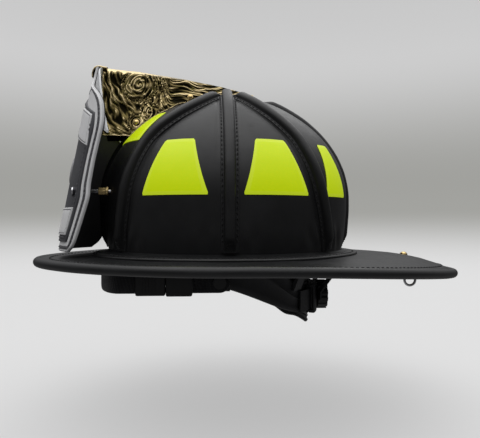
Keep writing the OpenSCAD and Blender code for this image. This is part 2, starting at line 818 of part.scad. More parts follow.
// Side-release buckle: the socket holds the plug's tongue
socket_y = [pivot_y - 41, pivot_y - 21];
module buckle_socket() {
    color([0.07, 0.07, 0.07])
        difference() {
            translate([loop_x - 3.5, socket_y[0], pivot_z - 10]) cube([7, socket_y[1] - socket_y[0], 20]);
            translate([loop_x - 1.9, socket_y[0] - 3, pivot_z - 7.4]) cube([3.8, 20, 14.8]);
        }
}

module buckle_plug() {
    color([0.07, 0.07, 0.07])
        difference() {
            union() {
                translate([loop_x - 3.5, socket_y[0] - 23, pivot_z - 9.4]) cube([7, 22.5, 18.8]);
                for (s = [-1, 0, 1])
                    translate([loop_x - 1.4, socket_y[0] - 1.5, pivot_z + s * 5.4 - 1.4])
                        cube([2.8, 12.5, 2.8]);
            }
            translate([loop_x - web_t / 2 - 0.35, socket_y[0] - 33.5, pivot_z - web_w / 2 - 0.4])
                cube([web_t + 0.7, 30, web_w + 0.8]);
        }
}

// Sliding adjuster round the webbing on the wearer's right
module postman_slide() {
    slide_y = [-58, -46];
    color([0.7, 0.7, 0.7])
        difference() {
            translate([-loop_x - 2.6, slide_y[0], pivot_z - web_w / 2 - 2.2])
                cube([5.2, slide_y[1] - slide_y[0], web_w + 4.4]);
            translate([-loop_x - web_t / 2 - 0.3, slide_y[0] - 1, pivot_z - web_w / 2 - 0.3])
                cube([web_t + 0.6, 20, web_w + 0.6]);
        }
}

// Plates under the brim with the pins that the strap turns on
module chin_anchors() {
    plate_x = 96;
    plate_t = 2.4;
    color([0.6, 0.6, 0.6])
        for (s = [1, -1])
            translate([0, pivot_y, pivot_z])
                rotate([0, 0, s > 0 ? 0 : 180]) {
                    translate([plate_x, -8, -7]) cube([plate_t, 16, 20]);
                    translate([plate_x - 0.1, 0, 0]) rotate([0, 90, 0])
                        cylinder(r = pin_r, h = 6.5, $fn = 48);
                    translate([web_out + 0.4, 0, 0]) rotate([0, 90, 0]) cylinder(r = 5, h = 1.6, $fn = 48);
                }
}

// ---- Hang ring ------------------------------------------------------------------------------

ring_y = 182;
ring_z = -22.6;
bar_clear = 0.06;
bracket_half = 3.4;
rivet_y = 175.7;

// Fraction of the way from the crown to the edge at the rear middle line
function rear_s(y) =
    (y - foot_point(180, -leather_t)[1]) / (edge_point(180)[1] - foot_point(180, -leather_t)[1]);
function rear_top(y) = brim_top(180, rear_s(y));

// D-shaped ring of wire hanging from its straight bar
module hang_ring() {
    leg = ring_drop - ring_r;
    color([0.8, 0.8, 0.8])
        translate([0, ring_y, ring_z]) {
            along_y(-ring_r, ring_r, wire_r, 32);
            for (s = [1, -1])
                translate([0, s * ring_r, 0]) {
                    sphere(r = wire_r, $fn = 32);
                    translate([0, 0, -leg]) cylinder(r = wire_r, h = leg, $fn = 32);
                }
            translate([0, 0, -leg])
                rotate([90, 0, 90])
                rotate(180)
                rotate_extrude(angle = 180, $fn = 64)
                translate([ring_r, 0])
                circle(r = wire_r, $fn = 32);
        }
}

// Clip that holds the ring's bar under the brim
module ring_bracket() {
    half_w = 3.4;
    front = rivet_y - 4.5;
    gap = 0.6;
    color(brass)
        difference() {
            translate([half_w, 0, 0])
                rotate([90, 0, -90])
                linear_extrude(2 * half_w)
                polygon([for (p = [
                    [front, rear_top(front) - brim_t - gap],
                    [ring_y + bracket_half, rear_top(ring_y + bracket_half) - brim_t - gap],
                    [ring_y + bracket_half, ring_z - 2.6],
                    [ring_y - bracket_half, ring_z - 2.6],
                    [ring_y - bracket_half, ring_z + 1],
                    [front, rear_top(front) - brim_t - gap - 2]]) [-p[0], p[1]]]);
            translate([0, 0, ring_z]) along_y(ring_y - 12, ring_y + 12, wire_r + bar_clear, 32);
        }
}

module ring_rivet() {
    color(brass)
        translate([0, rivet_y, 0]) {
            translate([0, 0, rear_top(rivet_y) - brim_t - 1.5]) cylinder(r = 1.4, h = brim_t + 2, $fn = 24);
            translate([0, 0, rear_top(rivet_y) + 0.1]) cylinder(r1 = 3.6, r2 = 2, h = 1.9, $fn = 32);
        }
}

// ---- Assembly -------------------------------------------------------------------------------

for (i = [1:8]) crown_panel(i);
for (i = [1:8]) crown_comb(i - 1);
crown_welt();
brim();
brim_wire();
reflective_trapezoids();
crest_holder();
crest_rivets();
shield_base();
shield_field();
shield_top_panel();
shield_bottom_panel();
shield_centre_patch();
shield_backing_plate();
shield_posts();
shield_post_nuts();
inner_shell();
impact_liner();
crown_strap(front_left, strap_top);  // crown_strap_a
crown_strap(front_right, strap_top + 2.2);  // crown_strap_b
suspension_keys();
headband();
band_hangers();
brow_pad();
nape_pad();
ratchet_base();
ratchet_cover();
ratchet_knob();
ratchet_pinion();
band_tail(tail_r[0], 1, 1);  // band_tail_left
band_tail(tail_r[1], -1, -1);  // band_tail_right
ear_lap(1);  // ear_lap_left
ear_lap(-1);  // ear_lap_right
chin_anchors();
chin_strap_left();
chin_strap_right();
buckle_socket();
buckle_plug();
postman_slide();
hang_ring();
ring_bracket();
ring_rivet();
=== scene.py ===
"""Looks of a traditional leather fire helmet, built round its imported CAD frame.

Shapes are worked out in millimetres with the same curves as the part's source, then stored in metres.
+Z is up, -Y the front, +X the wearer's left. Bearings are degrees round the crown:
0 front, 90 left, 180 rear.
"""

import math
import random

import bmesh
import bpy
from mathutils import Matrix, Vector, noise


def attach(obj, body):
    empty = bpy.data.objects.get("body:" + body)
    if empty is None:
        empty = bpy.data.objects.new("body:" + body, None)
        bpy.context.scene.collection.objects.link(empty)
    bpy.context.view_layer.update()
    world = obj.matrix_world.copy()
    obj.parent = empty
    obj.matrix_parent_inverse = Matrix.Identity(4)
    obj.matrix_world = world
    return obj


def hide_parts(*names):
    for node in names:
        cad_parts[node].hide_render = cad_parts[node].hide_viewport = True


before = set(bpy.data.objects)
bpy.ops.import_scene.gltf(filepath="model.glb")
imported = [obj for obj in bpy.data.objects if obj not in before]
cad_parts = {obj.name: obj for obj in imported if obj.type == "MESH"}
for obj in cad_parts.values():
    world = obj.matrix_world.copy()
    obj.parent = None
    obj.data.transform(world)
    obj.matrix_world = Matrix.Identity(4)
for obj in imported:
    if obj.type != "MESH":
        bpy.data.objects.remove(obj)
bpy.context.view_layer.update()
MM = 0.001
rng = random.Random(7)

# ---- Small maths ---------------------------------------------------------------------------------


def sin_d(a):
    return math.sin(math.radians(a))


def cos_d(a):
    return math.cos(math.radians(a))


def mix(a, b, s):
    return a + (b - a) * s


def smooth(x):
    s = min(1.0, max(0.0, x))
    return s * s * (3 - 2 * s)


def bell(x, centre, width):
    return math.exp(-(((x - centre) / width) ** 2))


def lookup(x, table):
    """Straight-line interpolation in a table of (x, value) pairs."""
    if x <= table[0][0]:
        return table[0][1]
    for (x0, v0), (x1, v1) in zip(table, table[1:]):
        if x <= x1:
            return mix(v0, v1, (x - x0) / (x1 - x0))
    return table[-1][1]


def ripple(p, size):
    """Smooth noise from -1 to 1 whose bumps are about size millimetres wide."""
    return noise.noise(Vector(p) / size)


def spread(n, low=0.0, high=1.0):
    """n + 1 even steps from low to high."""
    return [mix(low, high, k / n) for k in range(n + 1)]


def turns(n):
    """Cosine and sine at n even bearings round a circle."""
    return [(cos_d(360 * k / n), sin_d(360 * k / n)) for k in range(n)]


def squared(value, power):
    """A sine or cosine drawn out towards -1 and 1, which makes a circle squarer."""
    return math.copysign(abs(value) ** power, value)


# ---- The shell's curves, in millimetres ----------------------------------------------------------

CROWN_W, CROWN_L, CROWN_H, WAIST_H = 196.0, 228.0, 146.0, 46.0
PEAK, FOOT_TAPER, LEATHER_T, PANEL_BULGE = 0.08, 0.032, 3.5, 2.0
WAIST_U, TOP_U = 0.28, 0.985
FRONT_SEAM, REAR_SEAM = 35.0, 40.0
COMB_W, COMB_H = 10.0, 6.5
BRIM_FRONT, BRIM_REAR, BRIM_SIDE, BRIM_T, BRIM_Z = 178.0, 220.5, 152.0, 4.5, -4.0
BEAD_R, BEAD_SIDE_Z, FRONT_DROP, REAR_DROP, WELT_W = 5.0, -7.1, 2.3, 14.5, 14.5


def rise(u):
    return 90 * (u - WAIST_U) / (1 - WAIST_U)


def row_scale(u):
    return 1 - FOOT_TAPER * (1 - u / WAIST_U) ** 2 if u < WAIST_U else cos_d(rise(u))


def row_z(u, depth):
    if u < WAIST_U:
        return WAIST_H * u / WAIST_U
    share = (1 - PEAK) * sin_d(rise(u)) + PEAK * (1 - cos_d(rise(u)))
    return WAIST_H + (CROWN_H - WAIST_H - depth) * share


def crown_point(a, u, depth=0.0, belly=0.0):
    s = row_scale(u)
    return Vector(((CROWN_W / 2 - depth + belly) * s * sin_d(a),
                   -(CROWN_L / 2 - depth + belly) * s * cos_d(a), row_z(u, depth)))


def crown_normal(a, u):
    across = crown_point(a + 1, u) - crown_point(a - 1, u)
    up = crown_point(a, u + 0.005) - crown_point(a, u - 0.005)
    return across.cross(up).normalized()


def dome_z(x, y):
    r = math.hypot(x / (CROWN_W / 2 + PANEL_BULGE), y / (CROWN_L / 2 + PANEL_BULGE))
    r = min(1.0, r)
    return WAIST_H + (CROWN_H - WAIST_H) * ((1 - PEAK) * math.sqrt(1 - r * r) + PEAK * (1 - r))


def seam(i, u):
    """Bearing of seam i, 0 to 8, at crown row u."""
    if i > 4:
        return 360 - seam(8 - i, u)
    late = smooth((u - 0.5) / 0.4)
    return [0, FRONT_SEAM + 22 * u + 22 * late, 90, 180 - (REAR_SEAM + 27 * u + 12 * late), 180][i]


def foot_point(a, grow):
    return Vector(((CROWN_W / 2 * (1 - FOOT_TAPER) + grow) * sin_d(a),
                   -(CROWN_L / 2 * (1 - FOOT_TAPER) + grow) * cos_d(a), 0))


def edge_point(a):
    c = cos_d(a)
    pinch = 0.20 if c > 0 else 0.12
    return Vector((BRIM_SIDE * sin_d(a) * (1 - pinch * c * c) - BEAD_R * sin_d(a),
                   -((BRIM_FRONT if c > 0 else BRIM_REAR) - BEAD_R) * c, 0))


def bead_z(a):
    c = cos_d(a)
    return BEAD_SIDE_Z - (FRONT_DROP * c * c if c > 0 else REAR_DROP * (-c) ** 1.8)


def brim_top(a, s):
    """Height of the brim's top at fraction s from the crown to the roll; the rear arches down."""
    c = min(0.0, cos_d(a))
    return BRIM_Z + (bead_z(a) + 1.5 - BRIM_Z) * max(0.0, s) ** mix(1.1, 3.8, c * c)


def edge_out(a):
    d = edge_point(a + 1) - edge_point(a - 1)
    return Vector((d[1], -d[0], 0)).normalized()


def brim_reach(a):
    return (edge_point(a) - foot_point(a, -LEATHER_T)).length


# ---- Meshes --------------------------------------------------------------------------------------


def to_piece(name, points, faces, material, slot, body="helmet", replaces=(), crease=40, tags=None):
    """A smooth-shaded piece from points in millimetres.

    material is a key of MATERIALS, and tags holds one number per point for that material's nodes.
    """
    mesh = bpy.data.meshes.new(name)
    mesh.from_pydata([Vector(p) * MM for p in points], [], faces)
    if tags is not None:
        mesh.attributes.new("tag", "FLOAT", "POINT").data.foreach_set("value", tags)
    work = bmesh.new()
    work.from_mesh(mesh)
    bmesh.ops.remove_doubles(work, verts=work.verts, dist=1e-7)
    bmesh.ops.recalc_face_normals(work, faces=work.faces)
    work.to_mesh(mesh)
    work.free()
    mesh.polygons.foreach_set("use_smooth", [True] * len(mesh.polygons))
    mesh.set_sharp_from_angle(angle=math.radians(crease))
    mesh.materials.append(MATERIALS[material])
    obj = bpy.data.objects.new(name, mesh)
    bpy.context.scene.collection.objects.link(obj)
    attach(obj, body)
    if replaces:
        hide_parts(*replaces)
    return obj


def skin(rings, looped=False):
    """Points and faces of a closed solid through rings of equal point count."""
    n, m = len(rings[0]), len(rings)
    points = [p for ring in rings for p in ring]
    faces = []
    for j in range(m if looped else m - 1):
        for i in range(n):
            i2, j2 = (i + 1) % n, (j + 1) % m
            faces.append((j * n + i, j * n + i2, j2 * n + i2, j2 * n + i))
    if not looped:
        for base in (0, (m - 1) * n):
            for i in range((n + 1) // 2 - 1):
                quad = [base + q for q in (i, i + 1, n - 2 - i, n - 1 - i)]
                faces.append(tuple(dict.fromkeys(quad)))
    return points, [f for f in faces if len(set(f)) > 2]


def sheet_solid(front, back):
    """Points and faces of a plate from two grids of the same size."""
    rings = [list(f) + list(reversed(b)) for f, b in zip(front, back)]
    return skin(rings)


def tube(path, radius, sides, looped=False):
    """Points and faces of a round tube along a path."""
    rings = []
    last = None
    n = len(path)
    for k, p in enumerate(path):
        p = Vector(p)
        a = Vector(path[(k - 1) % n] if looped or k else path[0])
        b = Vector(path[(k + 1) % n] if looped or k < n - 1 else path[-1])
        ahead = (b - a).normalized()
        side = ahead.cross(Vector((0, 0, 1)))
        if side.length < 0.1:
            side = ahead.cross(Vector((0, 1, 0)))
        side.normalize()
        if last is not None and side.dot(last) < 0:
            side = -side
        last = side
        up = side.cross(ahead)
        rings.append([p + side * radius * c + up * radius * s for c, s in turns(sides)])
    return skin(rings, looped)


def join(parts):
    """One list of points and one of faces from several."""
    points, faces = [], []
    for more_points, more_faces in parts:
        base = len(points)
        points += list(more_points)
        faces += [tuple(i + base for i in f) for f in more_faces]
    return points, faces


def along(path, pitch):
    """Points and directions every pitch millimetres along a path."""
    found = []
    left = pitch / 2
    for a, b in zip(path, path[1:]):
        a, b = Vector(a), Vector(b)
        length = (b - a).length
        while left <= length:
            found.append((a.lerp(b, left / length), (b - a).normalized()))
            left += pitch
        left -= length
    return found


def stitch_run(path, normal_at, pitch, length, radius, slant=0.0):
    """Thread stitches lying along a path; normal_at gives the surface normal at a point."""
    parts = []
    for p, d in along(path, pitch):
        n = normal_at(p)
        d = (d - n * d.dot(n)).normalized()
        if slant:
            d = Matrix.Rotation(math.radians(slant), 3, n) @ d
        side = n.cross(d)
        long = length * rng.uniform(0.92, 1.06)
        rings = []
        for t, r in ((-0.5, 0.35), (-0.34, 0.9), (0, 1), (0.34, 0.9), (0.5, 0.35)):
            middle = p + d * (t * long) + n * radius * (0.5 - 3.2 * t * t)
            rings.append([middle + side * radius * r * c + n * radius * r * s for c, s in turns(6)])
        parts.append(skin(rings))
    return join(parts)


# ---- Materials -----------------------------------------------------------------------------------

WAVE_LENGTHS = 3.2                  # bands to a unit of length in a wave texture of scale 1


class Shader:
    """A Principled material built from texture nodes in object space."""

    def __init__(self, name, color, rough, metal=0.0, spec=0.5, coat=0.0, coat_rough=0.3, sheen=0.0):
        self.mat = bpy.data.materials.new(name)
        self.mat.use_nodes = True
        self.mat.diffuse_color = (*color, 1)
        self.nodes = self.mat.node_tree.nodes
        self.links = self.mat.node_tree.links
        self.bsdf = self.nodes["Principled BSDF"]
        for socket, value in (("Base Color", (*color, 1)), ("Roughness", rough), ("Metallic", metal),
                              ("Specular IOR Level", spec), ("Coat Weight", coat),
                              ("Coat Roughness", coat_rough), ("Sheen Weight", sheen)):
            self.bsdf.inputs[socket].default_value = value
        self.space = self.nodes.new("ShaderNodeTexCoord").outputs["Object"]
        self.height = None

    def node(self, kind, inputs=None, **settings):
        made = self.nodes.new("ShaderNode" + kind)
        for key, value in settings.items():
            setattr(made, key, value)
        for key, value in (inputs or {}).items():
            if isinstance(value, bpy.types.NodeSocket):
                self.links.new(value, made.inputs[key])
            else:
                made.inputs[key].default_value = value
        return made

    def stretch(self, scale):
        return self.node("Mapping", {"Vector": self.space, "Scale": scale}).outputs[0]

    def noise(self, size, detail=2.0, rough=0.5, vector=None, warp=0.0):
        """Noise whose features are about size millimetres."""
        inputs = {"Vector": vector or self.space, "Scale": 1 / MM / size, "Detail": detail,
                  "Roughness": rough, "Distortion": warp}
        return self.node("TexNoise", inputs).outputs["Fac"]

    def cells(self, size, feature="F1"):
        inputs = {"Vector": self.space, "Scale": 1 / MM / size}
        return self.node("TexVoronoi", inputs, feature=feature).outputs["Distance"]

    def waves(self, size, direction, vector=None):
        inputs = {"Vector": vector or self.space, "Scale": 1 / MM / size / WAVE_LENGTHS, "Distortion": 0.0}
        return self.node("TexWave", inputs, wave_type="BANDS", bands_direction=direction,
                         wave_profile="SIN").outputs["Fac"]

    def maths(self, operation, a, b):
        return self.node("Math", {0: a, 1: b}, operation=operation).outputs[0]

    def band(self, value, low, high, to_low=0.0, to_high=1.0):
        """A smooth step from to_low at low to to_high at high."""
        inputs = {"Value": value, "From Min": low, "From Max": high, "To Min": to_low, "To Max": to_high}
        return self.node("MapRange", inputs, interpolation_type="SMOOTHSTEP").outputs[0]

    def tag(self):
        return self.node("Attribute", attribute_name="tag").outputs["Fac"]

    def paint(self, mask, color):
        """Mixes a colour over what the base colour already is."""
        base = self.bsdf.inputs["Base Color"]
        blend = self.node("Mix", {0: mask}, data_type="RGBA")
        if base.links:
            self.links.new(base.links[0].from_socket, blend.inputs[6])
        else:
            blend.inputs[6].default_value = base.default_value
        blend.inputs[7].default_value = (*color, 1)
        self.links.new(blend.outputs[2], base)

    def gloss(self, value):
        self.links.new(value, self.bsdf.inputs["Roughness"])

    def bump(self, value, depth):
        """Adds height in millimetres to the surface."""
        found = self.node("Bump", {"Height": value, "Distance": depth * MM, "Strength": 1.0})
        if self.height:
            self.links.new(self.height, found.inputs["Normal"])
        self.height = found.outputs[0]
        self.links.new(self.height, self.bsdf.inputs["Normal"])


def tint(color, gain):
    return tuple(min(1.0, c * gain) for c in color)


def leather(name, color, rough, grain, cell=1.3, wear=2.2):
    """Finished leather: pebbled grain, pores, soft creases, and scuffs that catch the light."""
    s = Shader(name, color, rough, spec=0.42, coat=0.12, coat_rough=0.38)
    patches = s.noise(46, 4.0, 0.6)
    s.paint(s.band(patches, 0.42, 0.72), tint(color, 1.5))
    rubs = s.noise(5, 6.0, 0.7, s.stretch((1.0, 0.35, 2.2)))
    s.paint(s.band(rubs, 0.60, 0.78, 0.0, 0.5), tint(color, wear))
    dull = s.band(patches, 0.3, 0.75, rough - 0.06, rough + 0.08)
    s.gloss(s.maths("ADD", dull, s.band(rubs, 0.5, 0.8, 0.0, 0.12)))
    s.bump(s.noise(14, 3.0, 0.5, warp=0.6), grain * 3.0)
    s.bump(s.cells(cell, "SMOOTH_F1"), grain)
    s.bump(s.noise(0.45, 2.0), grain * 0.35)
    return s


def metal(name, color, rough, brushed=0.0):
    """Cast or drawn metal with handling stains, brushed along its length where it is turned."""
    s = Shader(name, color, rough, metal=1.0)
    stains = s.noise(7, 5.0, 0.65)
    s.paint(s.band(stains, 0.5, 0.8, 0.0, 0.6), tint(color, 0.55))
    s.gloss(s.band(stains, 0.3, 0.8, rough - 0.08, rough + 0.16))
    if brushed:
        s.bump(s.noise(0.5, 3.0, 0.6, s.stretch((1.0, 0.06, 1.0))), brushed)
    s.bump(s.noise(1.6, 3.0), 0.01)
    return s


def plastic(name, color, rough, texture):
    """Moulded plastic or paint with a fine cell texture."""
    s = Shader(name, color, rough, spec=0.45)
    s.paint(s.band(s.noise(30, 4.0), 0.4, 0.75, 0.0, 0.6), tint(color, 1.6))
    s.gloss(s.band(s.noise(3, 4.0, 0.7), 0.3, 0.8, rough - 0.06, rough + 0.12))
    s.bump(s.cells(0.5, "SMOOTH_F1"), texture)
    return s


def cloth(name, color, thread, relief, fuzz=0.35):
    """Woven cloth or webbing: crossing ribs of thread, with lint and uneven dye."""
    s = Shader(name, color, 0.85, spec=0.25, sheen=fuzz)
    s.paint(s.band(s.noise(22, 4.0), 0.35, 0.75), tint(color, 1.7))
    warp = s.waves(thread, "Z")
    weft = s.waves(thread, "DIAGONAL", s.stretch((1.0, 1.0, 0.25)))
    weave = s.maths("MULTIPLY", warp, weft)
    # painted shade: darker where the weave is low, in the gaps between the ribs of thread
    s.paint(s.band(weave, 0.1, 0.6, 0.5, 0.0), tint(color, 0.45))
    s.bump(weave, relief)
    s.bump(s.noise(0.35, 3.0, 0.7), relief * 0.4)
    return s


def thread_dye(name, color):
    return cloth(name, color, thread=0.5, relief=0.05, fuzz=0.1)


def black_leathers(m):
    black = (0.0060, 0.0062, 0.0068)
    m["crown"] = leather("crown_leather", black, rough=0.43, grain=0.035)
    m["comb"] = leather("comb_leather", tint(black, 0.8), rough=0.46, grain=0.05, cell=1.0)
    m["welt"] = leather("welt_leather", tint(black, 0.95), rough=0.45, grain=0.05, cell=1.0)
    m["brim"] = leather("brim_leather", tint(black, 1.25), rough=0.41, grain=0.04)
    m["thread"] = thread_dye("black_thread", (0.014, 0.014, 0.015))
    m["grey_thread"] = thread_dye("grey_thread", (0.16, 0.16, 0.17))


def film_and_metals(m):
    film = Shader("reflective_film", (0.60, 0.74, 0.0), 0.35, spec=0.3, coat=0.15, coat_rough=0.2)
    prism = film.cells(2.6)
    film.paint(film.band(prism, 0.25, 0.6, 0.0, 0.22), (0.50, 0.64, 0.0))
    film.paint(film.band(film.noise(35, 3.0), 0.45, 0.7, 0.0, 0.25), (0.64, 0.80, 0.0))
    film.paint(film.band(film.tag(), 0.2, 0.6), (0.62, 0.74, 0.04))
    film.bump(prism, 0.03)
    # painted glow: the film gives out light of its own and looks brighter than the lamps make it
    film.bsdf.inputs["Emission Color"].default_value = (0.72, 0.95, 0.0, 1)
    film.bsdf.inputs["Emission Strength"].default_value = 0.30
    m["film"] = film

    crest = Shader("crest_brass", (0.15, 0.115, 0.048), 0.32, metal=1.0)
    relief = crest.tag()
    crest.paint(crest.band(crest.noise(9, 4.0, 0.6), 0.45, 0.7, 0.0, 0.6), (0.075, 0.072, 0.010))
    # painted shade: the relief's hollows and the casting's inner wall are painted near black, and the lip's
    # underside is darkened
    crest.paint(crest.band(relief, 0.90, 0.62), (0.006, 0.005, 0.002))
    # painted highlight: the relief's ridges, the flank's foot and top edge, and the lip's upper side are
    # painted pale gold
    crest.paint(crest.band(relief, 0.93, 1.02, 0.0, 0.9), (0.80, 0.64, 0.36))
    crest.gloss(crest.band(relief, 0.3, 1.0, 0.6, 0.22))
    crest.bump(crest.noise(1.1, 4.0, 0.6), 0.05)
    m["crest"] = crest
    m["rivet"] = metal("rivet_brass", (0.80, 0.60, 0.28), 0.24)
    m["wire"] = metal("wire_brass", (0.72, 0.55, 0.24), 0.4)
    m["steel"] = metal("post_steel", (0.66, 0.66, 0.68), 0.26, brushed=0.01)
    m["dark_steel"] = metal("post_steel_blacked", (0.05, 0.05, 0.055), 0.4, brushed=0.01)


def shield_leathers(m):
    white = (0.88, 0.88, 0.89)
    border = leather("shield_border_leather", white, rough=0.45, grain=0.04, wear=1.1)
    edge = border.tag()                 # a grey band between two pale lines
    dyed = border.maths("MULTIPLY", border.band(edge, 1.8, 2.3), border.band(edge, 5.6, 5.1))
    border.paint(dyed, (0.13, 0.13, 0.14))
    border.paint(border.band(edge, 0.6, 0.1, 0.0, 0.7), (0.45, 0.45, 0.46))
    border.paint(border.band(edge, -0.3, -1.2), (0.014, 0.014, 0.016))
    m["border"] = border
    m["field"] = leather("shield_field_leather", (0.060, 0.061, 0.068), rough=0.5, grain=0.06,
                         cell=1.1, wear=1.5)
    panel = leather("shield_panel_leather", white, rough=0.45, grain=0.04, wear=1.1)
    edge = panel.tag()
    line = panel.maths("MULTIPLY", panel.band(edge, 1.2, 1.5), panel.band(edge, 2.2, 1.9))
    panel.paint(line, (0.10, 0.10, 0.11))
    m["panel"] = panel
    m["patch"] = leather("shield_patch_leather", (0.33, 0.33, 0.34), rough=0.45, grain=0.05, wear=1.3)
    m["backing"] = plastic("backing_plate_metal", (0.72, 0.73, 0.74), 0.38, 0.01)


def inside_materials(m):
    m["anchor"] = plastic("anchor_metal_paint", (0.02, 0.02, 0.021), 0.35, 0.01)
    m["shell"] = plastic("inner_shell_composite", (0.045, 0.045, 0.048), 0.55, 0.05)
    foam = Shader("liner_foam", (0.035, 0.035, 0.038), 0.9, spec=0.2, sheen=0.3)
    foam.paint(foam.band(foam.noise(18, 4.0), 0.4, 0.7), (0.06, 0.06, 0.064))
    foam.bump(foam.cells(1.5), 0.25)
    foam.bump(foam.noise(0.6, 3.0), 0.1)
    m["foam"] = foam
    m["webbing"] = cloth("webbing_grey", (0.075, 0.078, 0.086), thread=1.5, relief=0.25)
    m["strap"] = cloth("webbing_black", (0.016, 0.016, 0.018), thread=1.3, relief=0.22)
    m["lap"] = cloth("lap_fabric", (0.040, 0.042, 0.050), thread=0.8, relief=0.12, fuzz=0.6)
    m["moulded"] = plastic("moulded_plastic", (0.022, 0.022, 0.024), 0.48, 0.02)
    m["knob"] = plastic("knob_plastic", (0.014, 0.014, 0.015), 0.55, 0.04)
    m["buckle"] = plastic("buckle_plastic", (0.012, 0.012, 0.013), 0.34, 0.008)
    m["pad"] = leather("pad_leather", (0.022, 0.020, 0.019), rough=0.6, grain=0.1, cell=1.6)
    m["nape"] = leather("nape_leather", (0.013, 0.013, 0.014), rough=0.46, grain=0.08, cell=1.4)


def make_materials():
    shaders = {}
    for kind in (black_leathers, film_and_metals, shield_leathers, inside_materials):
        kind(shaders)
    return {key: shader.mat for key, shader in shaders.items()}


MATERIALS = make_materials()

# ---- Crown ---------------------------------------------------------------------------------------

FRONT_PANELS, REAR_PANELS = (1, 8), (4, 5)
FRONT_FILM_ROWS, FILM_ROWS = (0.535, 0.70), (0.285, 0.515)      # crown rows at a film's foot and top
FILM_BASE, FILM_TOP, FILM_STEPS = 57.0, 25.0, 26
FRONT_FILM_SIZE, REAR_FILM_SIZE = 0.8, 0.52


def per_degree(a, u):
    """Millimetres along the crown's surface for one degree of bearing."""
    return math.radians(row_scale(u)) * math.hypot(CROWN_W / 2 * cos_d(a), CROWN_L / 2 * sin_d(a))


def panel_surface(i, f, u, lift=0.0):
    """Point on panel i's outer face, with the leather's own unevenness."""
    left, right = seam(i - 1, u), seam(i, u)
    a = mix(left, right, f)
    belly = PANEL_BULGE * sin_d(180 * f) ** 2 * sin_d(180 * min(1.0, u))
    p = crown_point(a, u, 0.0, belly)
    n = crown_normal(a, u)
    low = 0.34 * ripple(p, 34) + 0.07 * ripple(p, 9)
    width = (right - left) * per_degree(a, u)
    for side, number in ((f, i - 1), (1 - f, i)):
        away = side * width
        diagonal = number % 2 == 1
        pucker = bell(p.z, 13 + 3 * ripple(p, 20), 8) * (1.0 if diagonal else 0.45)
        low += pucker * (1.5 * bell(away, 13, 4) - 1.2 * bell(away, 20, 4.5) + 0.5 * bell(away, 27, 5))
        low -= 0.5 * bell(away, 9.3, 1.2) * smooth(u / 0.08)
    return p + n * (low * (1 - smooth((u - 0.9) / 0.08)) + lift)


def crown_panel(i):
    cols = 44
    rows = spread(84, 0, TOP_U)
    front = [[panel_surface(i, 1 - k / cols, u) for k in range(cols + 1)] for u in rows]
    back = [[crown_point(mix(seam(i - 1, u), seam(i, u), 1 - k / cols), u, LEATHER_T)
             for k in range(cols + 1)] for u in rows]
    name = f"crown_panel_{i}"
    points, faces = sheet_solid(front, back)
    to_piece(name + "_leather", points, faces, "crown", "crown_leather", replaces=[name])


COMB_TOP = [0.677, 0.862, 0.923, 0.862, 0.862]     # crown row where each comb ends, front to rear
COMB_LOW, FLANGE_W = 0.012, 2.6


def comb_profile(half, high, flat):
    """Section across a comb: a sewn flange, the raised body, the other flange."""
    profile = [(half + FLANGE_W, -0.9), (half + FLANGE_W, 0.45), (half + FLANGE_W - 0.4, 0.85),
               (half + 0.9, 0.95), (half + 0.15, 1.15)]
    for k in range(13):
        c, s = cos_d(180 * k / 12), sin_d(180 * k / 12)
        profile.append((half * squared(c, flat), 1.3 + (high - 1.3) * s ** flat))
    profile += [(-x, y) for x, y in reversed(profile[:5])]
    return profile


def comb_frame(i, u):
    """A place on seam i, with the directions out from it and across it."""
    a = seam(i, u)
    above, below = (crown_point(seam(i, v), v) for v in (u + 0.01, u - 0.01))
    ahead = (above - below).normalized()
    out = crown_normal(a, u)
    return crown_point(a, u), out, out.cross(ahead).normalized()


def crown_comb(i):
    kind = i if i <= 4 else 8 - i
    top = COMB_TOP[kind]
    flat = 0.62 if kind == 2 else 0.85
    rings = []
    for u in spread(110, COMB_LOW, top):
        p, out, side = comb_frame(i, u)
        foot = smooth((u - COMB_LOW) / 0.075)
        end = smooth((top - u) / 0.045)
        half = COMB_W / 2 * mix(0.88, 1.0, u) * mix(0.7, 1, end) * mix(1.12, 1.0, foot)
        high = COMB_H * mix(0.42, 1, foot) * mix(0.4, 1, end)
        wobble = 0.14 * ripple(p, 11) + 0.5 * (1 - foot) * ripple(p, 3.2)
        rings.append([p + out * (y + (wobble if y > 1 else 0)) + side * x
                      for x, y in comb_profile(half, high, flat)])
    points, faces = skin(rings)
    node = f"crown_comb_{i + 1}"
    to_piece(node + "_leather", points, faces, "comb", "comb_leather", replaces=[node], crease=60)
    threads = []
    for hand in (-1, 1):
        path = []
        for u in spread(80, 0.055, top - COMB_LOW):
            p, out, side = comb_frame(i, u)
            half = COMB_W / 2 * mix(0.88, 1.0, u)
            path.append(p + side * hand * (half + 1.5) + out * 0.85)
        threads.append(stitch_run(path, nearest_crown_normal, pitch=4.3, length=3.0, radius=0.55))
    for k in range(4):
        u = 0.020 + 0.011 * k
        p, out, side = comb_frame(i, u)
        high = COMB_H * mix(0.42, 1, smooth((u - COMB_LOW) / 0.075)) * 0.96
        line = [p + side * x + out * (high - abs(x) * 0.05) for x in (-3.4, 3.4)]
        threads.append(stitch_run(line, lambda q, o=out: o, pitch=6.8, length=6.2, radius=0.5, slant=12))
    return join(threads)


def nearest_crown_normal(q):
    """Outward normal of the smooth crown near a point."""
    up = max(0.0, q.z - WAIST_H) / (CROWN_H - WAIST_H) ** 2
    return Vector((q.x / (CROWN_W / 2) ** 2, q.y / (CROWN_L / 2) ** 2, up)).normalized()


def film_middle(i, s):
    """Where a film's middle lies across panel i, at fraction s of its height."""
    if i > 4:
        return 1 - film_middle(9 - i, s)
    lean = mix(0.03, -0.03, s)
    return {2: 0.5 + lean, 3: 0.5 - lean, 4: mix(0.27, 0.335, s)}.get(i, 0.5)


